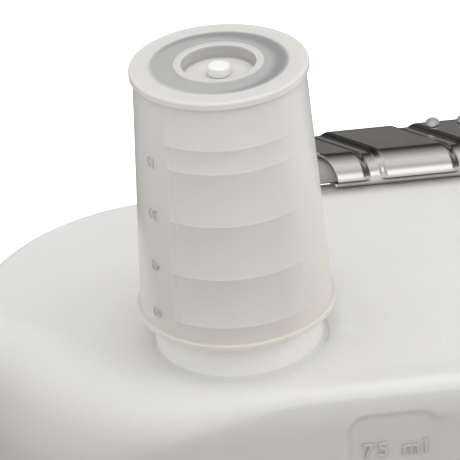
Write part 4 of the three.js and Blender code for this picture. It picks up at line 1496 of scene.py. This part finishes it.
def buildHinge():
    axisY, axisZ = hingeLine.y / mm, hingeLine.z / mm
    half, knuckle = hinge["width"] / 2, hinge["knuckle"] / 2
    notch = knuckle + hinge["gap"]
    low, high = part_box("hinge_base")
    faceY, bottom = low.y / mm + hinge["leaf"], low.z / mm
    webTop = axisZ + hinge["leaf"] / 2
    # the fixed leaf runs up the tank's back, over a bend, back along the web and round the pin
    path = [(faceY, bottom + (webTop - 2 - bottom) * k / 5) for k in range(6)]
    base = foldedSheet("hingeBase", path, [(-half, half, len(path))], -hinge["leaf"])
    webPath = [(low.y / mm, webTop), (faceY, webTop), (axisY - hinge["barrel"] - hinge["gap"], webTop)]
    web = foldedSheet("web", webPath, [(-half, half, len(webPath))], hinge["leaf"])
    postPath = [(faceY, webTop - 3), (faceY, webTop - 0.4)]
    post = foldedSheet("bend", postPath, [(-half, half, len(postPath))], -hinge["leaf"])
    parts = [web, post]
    for x0, x1 in ((-half, -notch), (notch, half)):
        curl = [(axisY - hinge["barrel"] - 1, webTop)]
        curl += roundBarrel(axisY, axisZ, hinge["baseCurl"], hinge["curlSweep"])
        parts.append(foldedSheet("knuckle", curl, [(x0, x1, len(curl))], hinge["leaf"] * hinge["curlShare"]))
    joinInto(base, parts)
    finished(base, zincSteel, "bottle", ["hinge_base"])
    low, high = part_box("hinge_leaf")
    y0, y1, top = low.y / mm, high.y / mm, high.z / mm
    leafPath = [(y0, top), ((y0 + y1) / 2, top), (y1, top)]
    strip = foldedSheet("hingeLeaf", leafPath, [(-half, half, len(leafPath))], hinge["strip"])
    curl = [(axisY - 1.6, top - 0.4)] + roundBarrel(axisY, axisZ, hinge["leafCurl"], hinge["curlSweep"])
    tongue = foldedSheet("knuckle", curl, [(-knuckle, knuckle, len(curl))],
                         hinge["leaf"] * hinge["curlShare"])
    joinInto(strip, [tongue])
    finished(strip, zincSteel, "handle", ["hinge_leaf"])
    low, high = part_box("hinge_pin")
    reach, head, size = (high.x - low.x) / 2, hinge["pinHeadLength"] * mm, hinge["pinHead"] * mm
    shaft = hinge["pin"] * mm
    pin = turnedPiece("hingePin", [
        (0, -reach, 0), (size, -reach, 0.4 * mm), (size, -reach + head, 0.2 * mm),
        (shaft, -reach + head, 0.1 * mm), (shaft, reach - head, 0.1 * mm),
        (size, reach - head, 0.2 * mm), (size, reach, 0.4 * mm), (0, reach, 0)],
        Vector((0, 0, 0)), 48, closed=False)
    pin.data.transform(Matrix.Translation(hingeLine) @ Matrix.Rotation(math.pi / 2, 4, "Y"))
    finished(pin, zincSteel, "bottle", ["hinge_pin"])


def rivetShape(name, grip, tail):
    # half-round head; its underside is at zero and the shank points down
    head, dome, shank, rim = (rivet[key] * mm for key in ("head", "dome", "shank", "rim"))
    profile = [(0, -grip, 0), (shank, -grip, 0.1 * mm)]
    if tail:
        profile = [(0, -grip - 1.0 * mm, 0), (tail * 0.8, -grip - 1.0 * mm, 0.3 * mm),
                   (tail, -grip - 0.3 * mm, 0.3 * mm), (shank, -grip, 0.1 * mm)]
    profile += [(shank, 0, 0.05 * mm), (head, 0, 0.06 * mm)]
    for step in range(10):
        a = math.pi / 2 * step / 10
        profile.append((head * math.cos(a), rim + (dome - rim) * math.sin(a), 0))
    profile.append((0, dome, 0))
    return turnedPiece(name, profile, Vector((0, 0, 0)), 40, closed=False)


def buildRivets():
    dome = rivet["dome"] * mm
    plateNodes = ["plate_rivet_%d" % number for number in range(1, 5)]
    shape = rivetShape("plateRivetShape", rivet["grip"] * mm, 0)
    boxes = [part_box(node) for node in plateNodes]
    spots = [((low.x + high.x) / 2, (low.y + high.y) / 2, high.z - dome) for low, high in boxes]
    row = grow("plateRivets", pointCloud("plateRivets", spots), rivetRow,
               {"Rivet": shape, "Seed": 3, "Finish": rivetSteel})
    bpy.data.objects.remove(shape)
    finished(row, rivetSteel, "handle", plateNodes)
    baseNodes = ["base_rivet_%d" % number for number in range(1, 5)]
    shape = rivetShape("baseRivetShape", rivet["baseGrip"] * mm, rivet["bulb"] * mm)
    boxes = [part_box(node) for node in baseNodes]
    # set out standing, then laid over so that the heads face the back
    spots = [((low.x + high.x) / 2, -(low.z + high.z) / 2, high.y - dome) for low, high in boxes]
    row = grow("baseRivets", pointCloud("baseRivets", spots), rivetRow,
               {"Rivet": shape, "Seed": 5, "Finish": rivetSteel})
    bpy.data.objects.remove(shape)
    row.data.transform(Matrix.Rotation(-math.pi / 2, 4, "X"))
    finished(row, rivetSteel, "bottle", baseNodes)


buildHinge()
buildRivets()
print("hinge and rivets built")
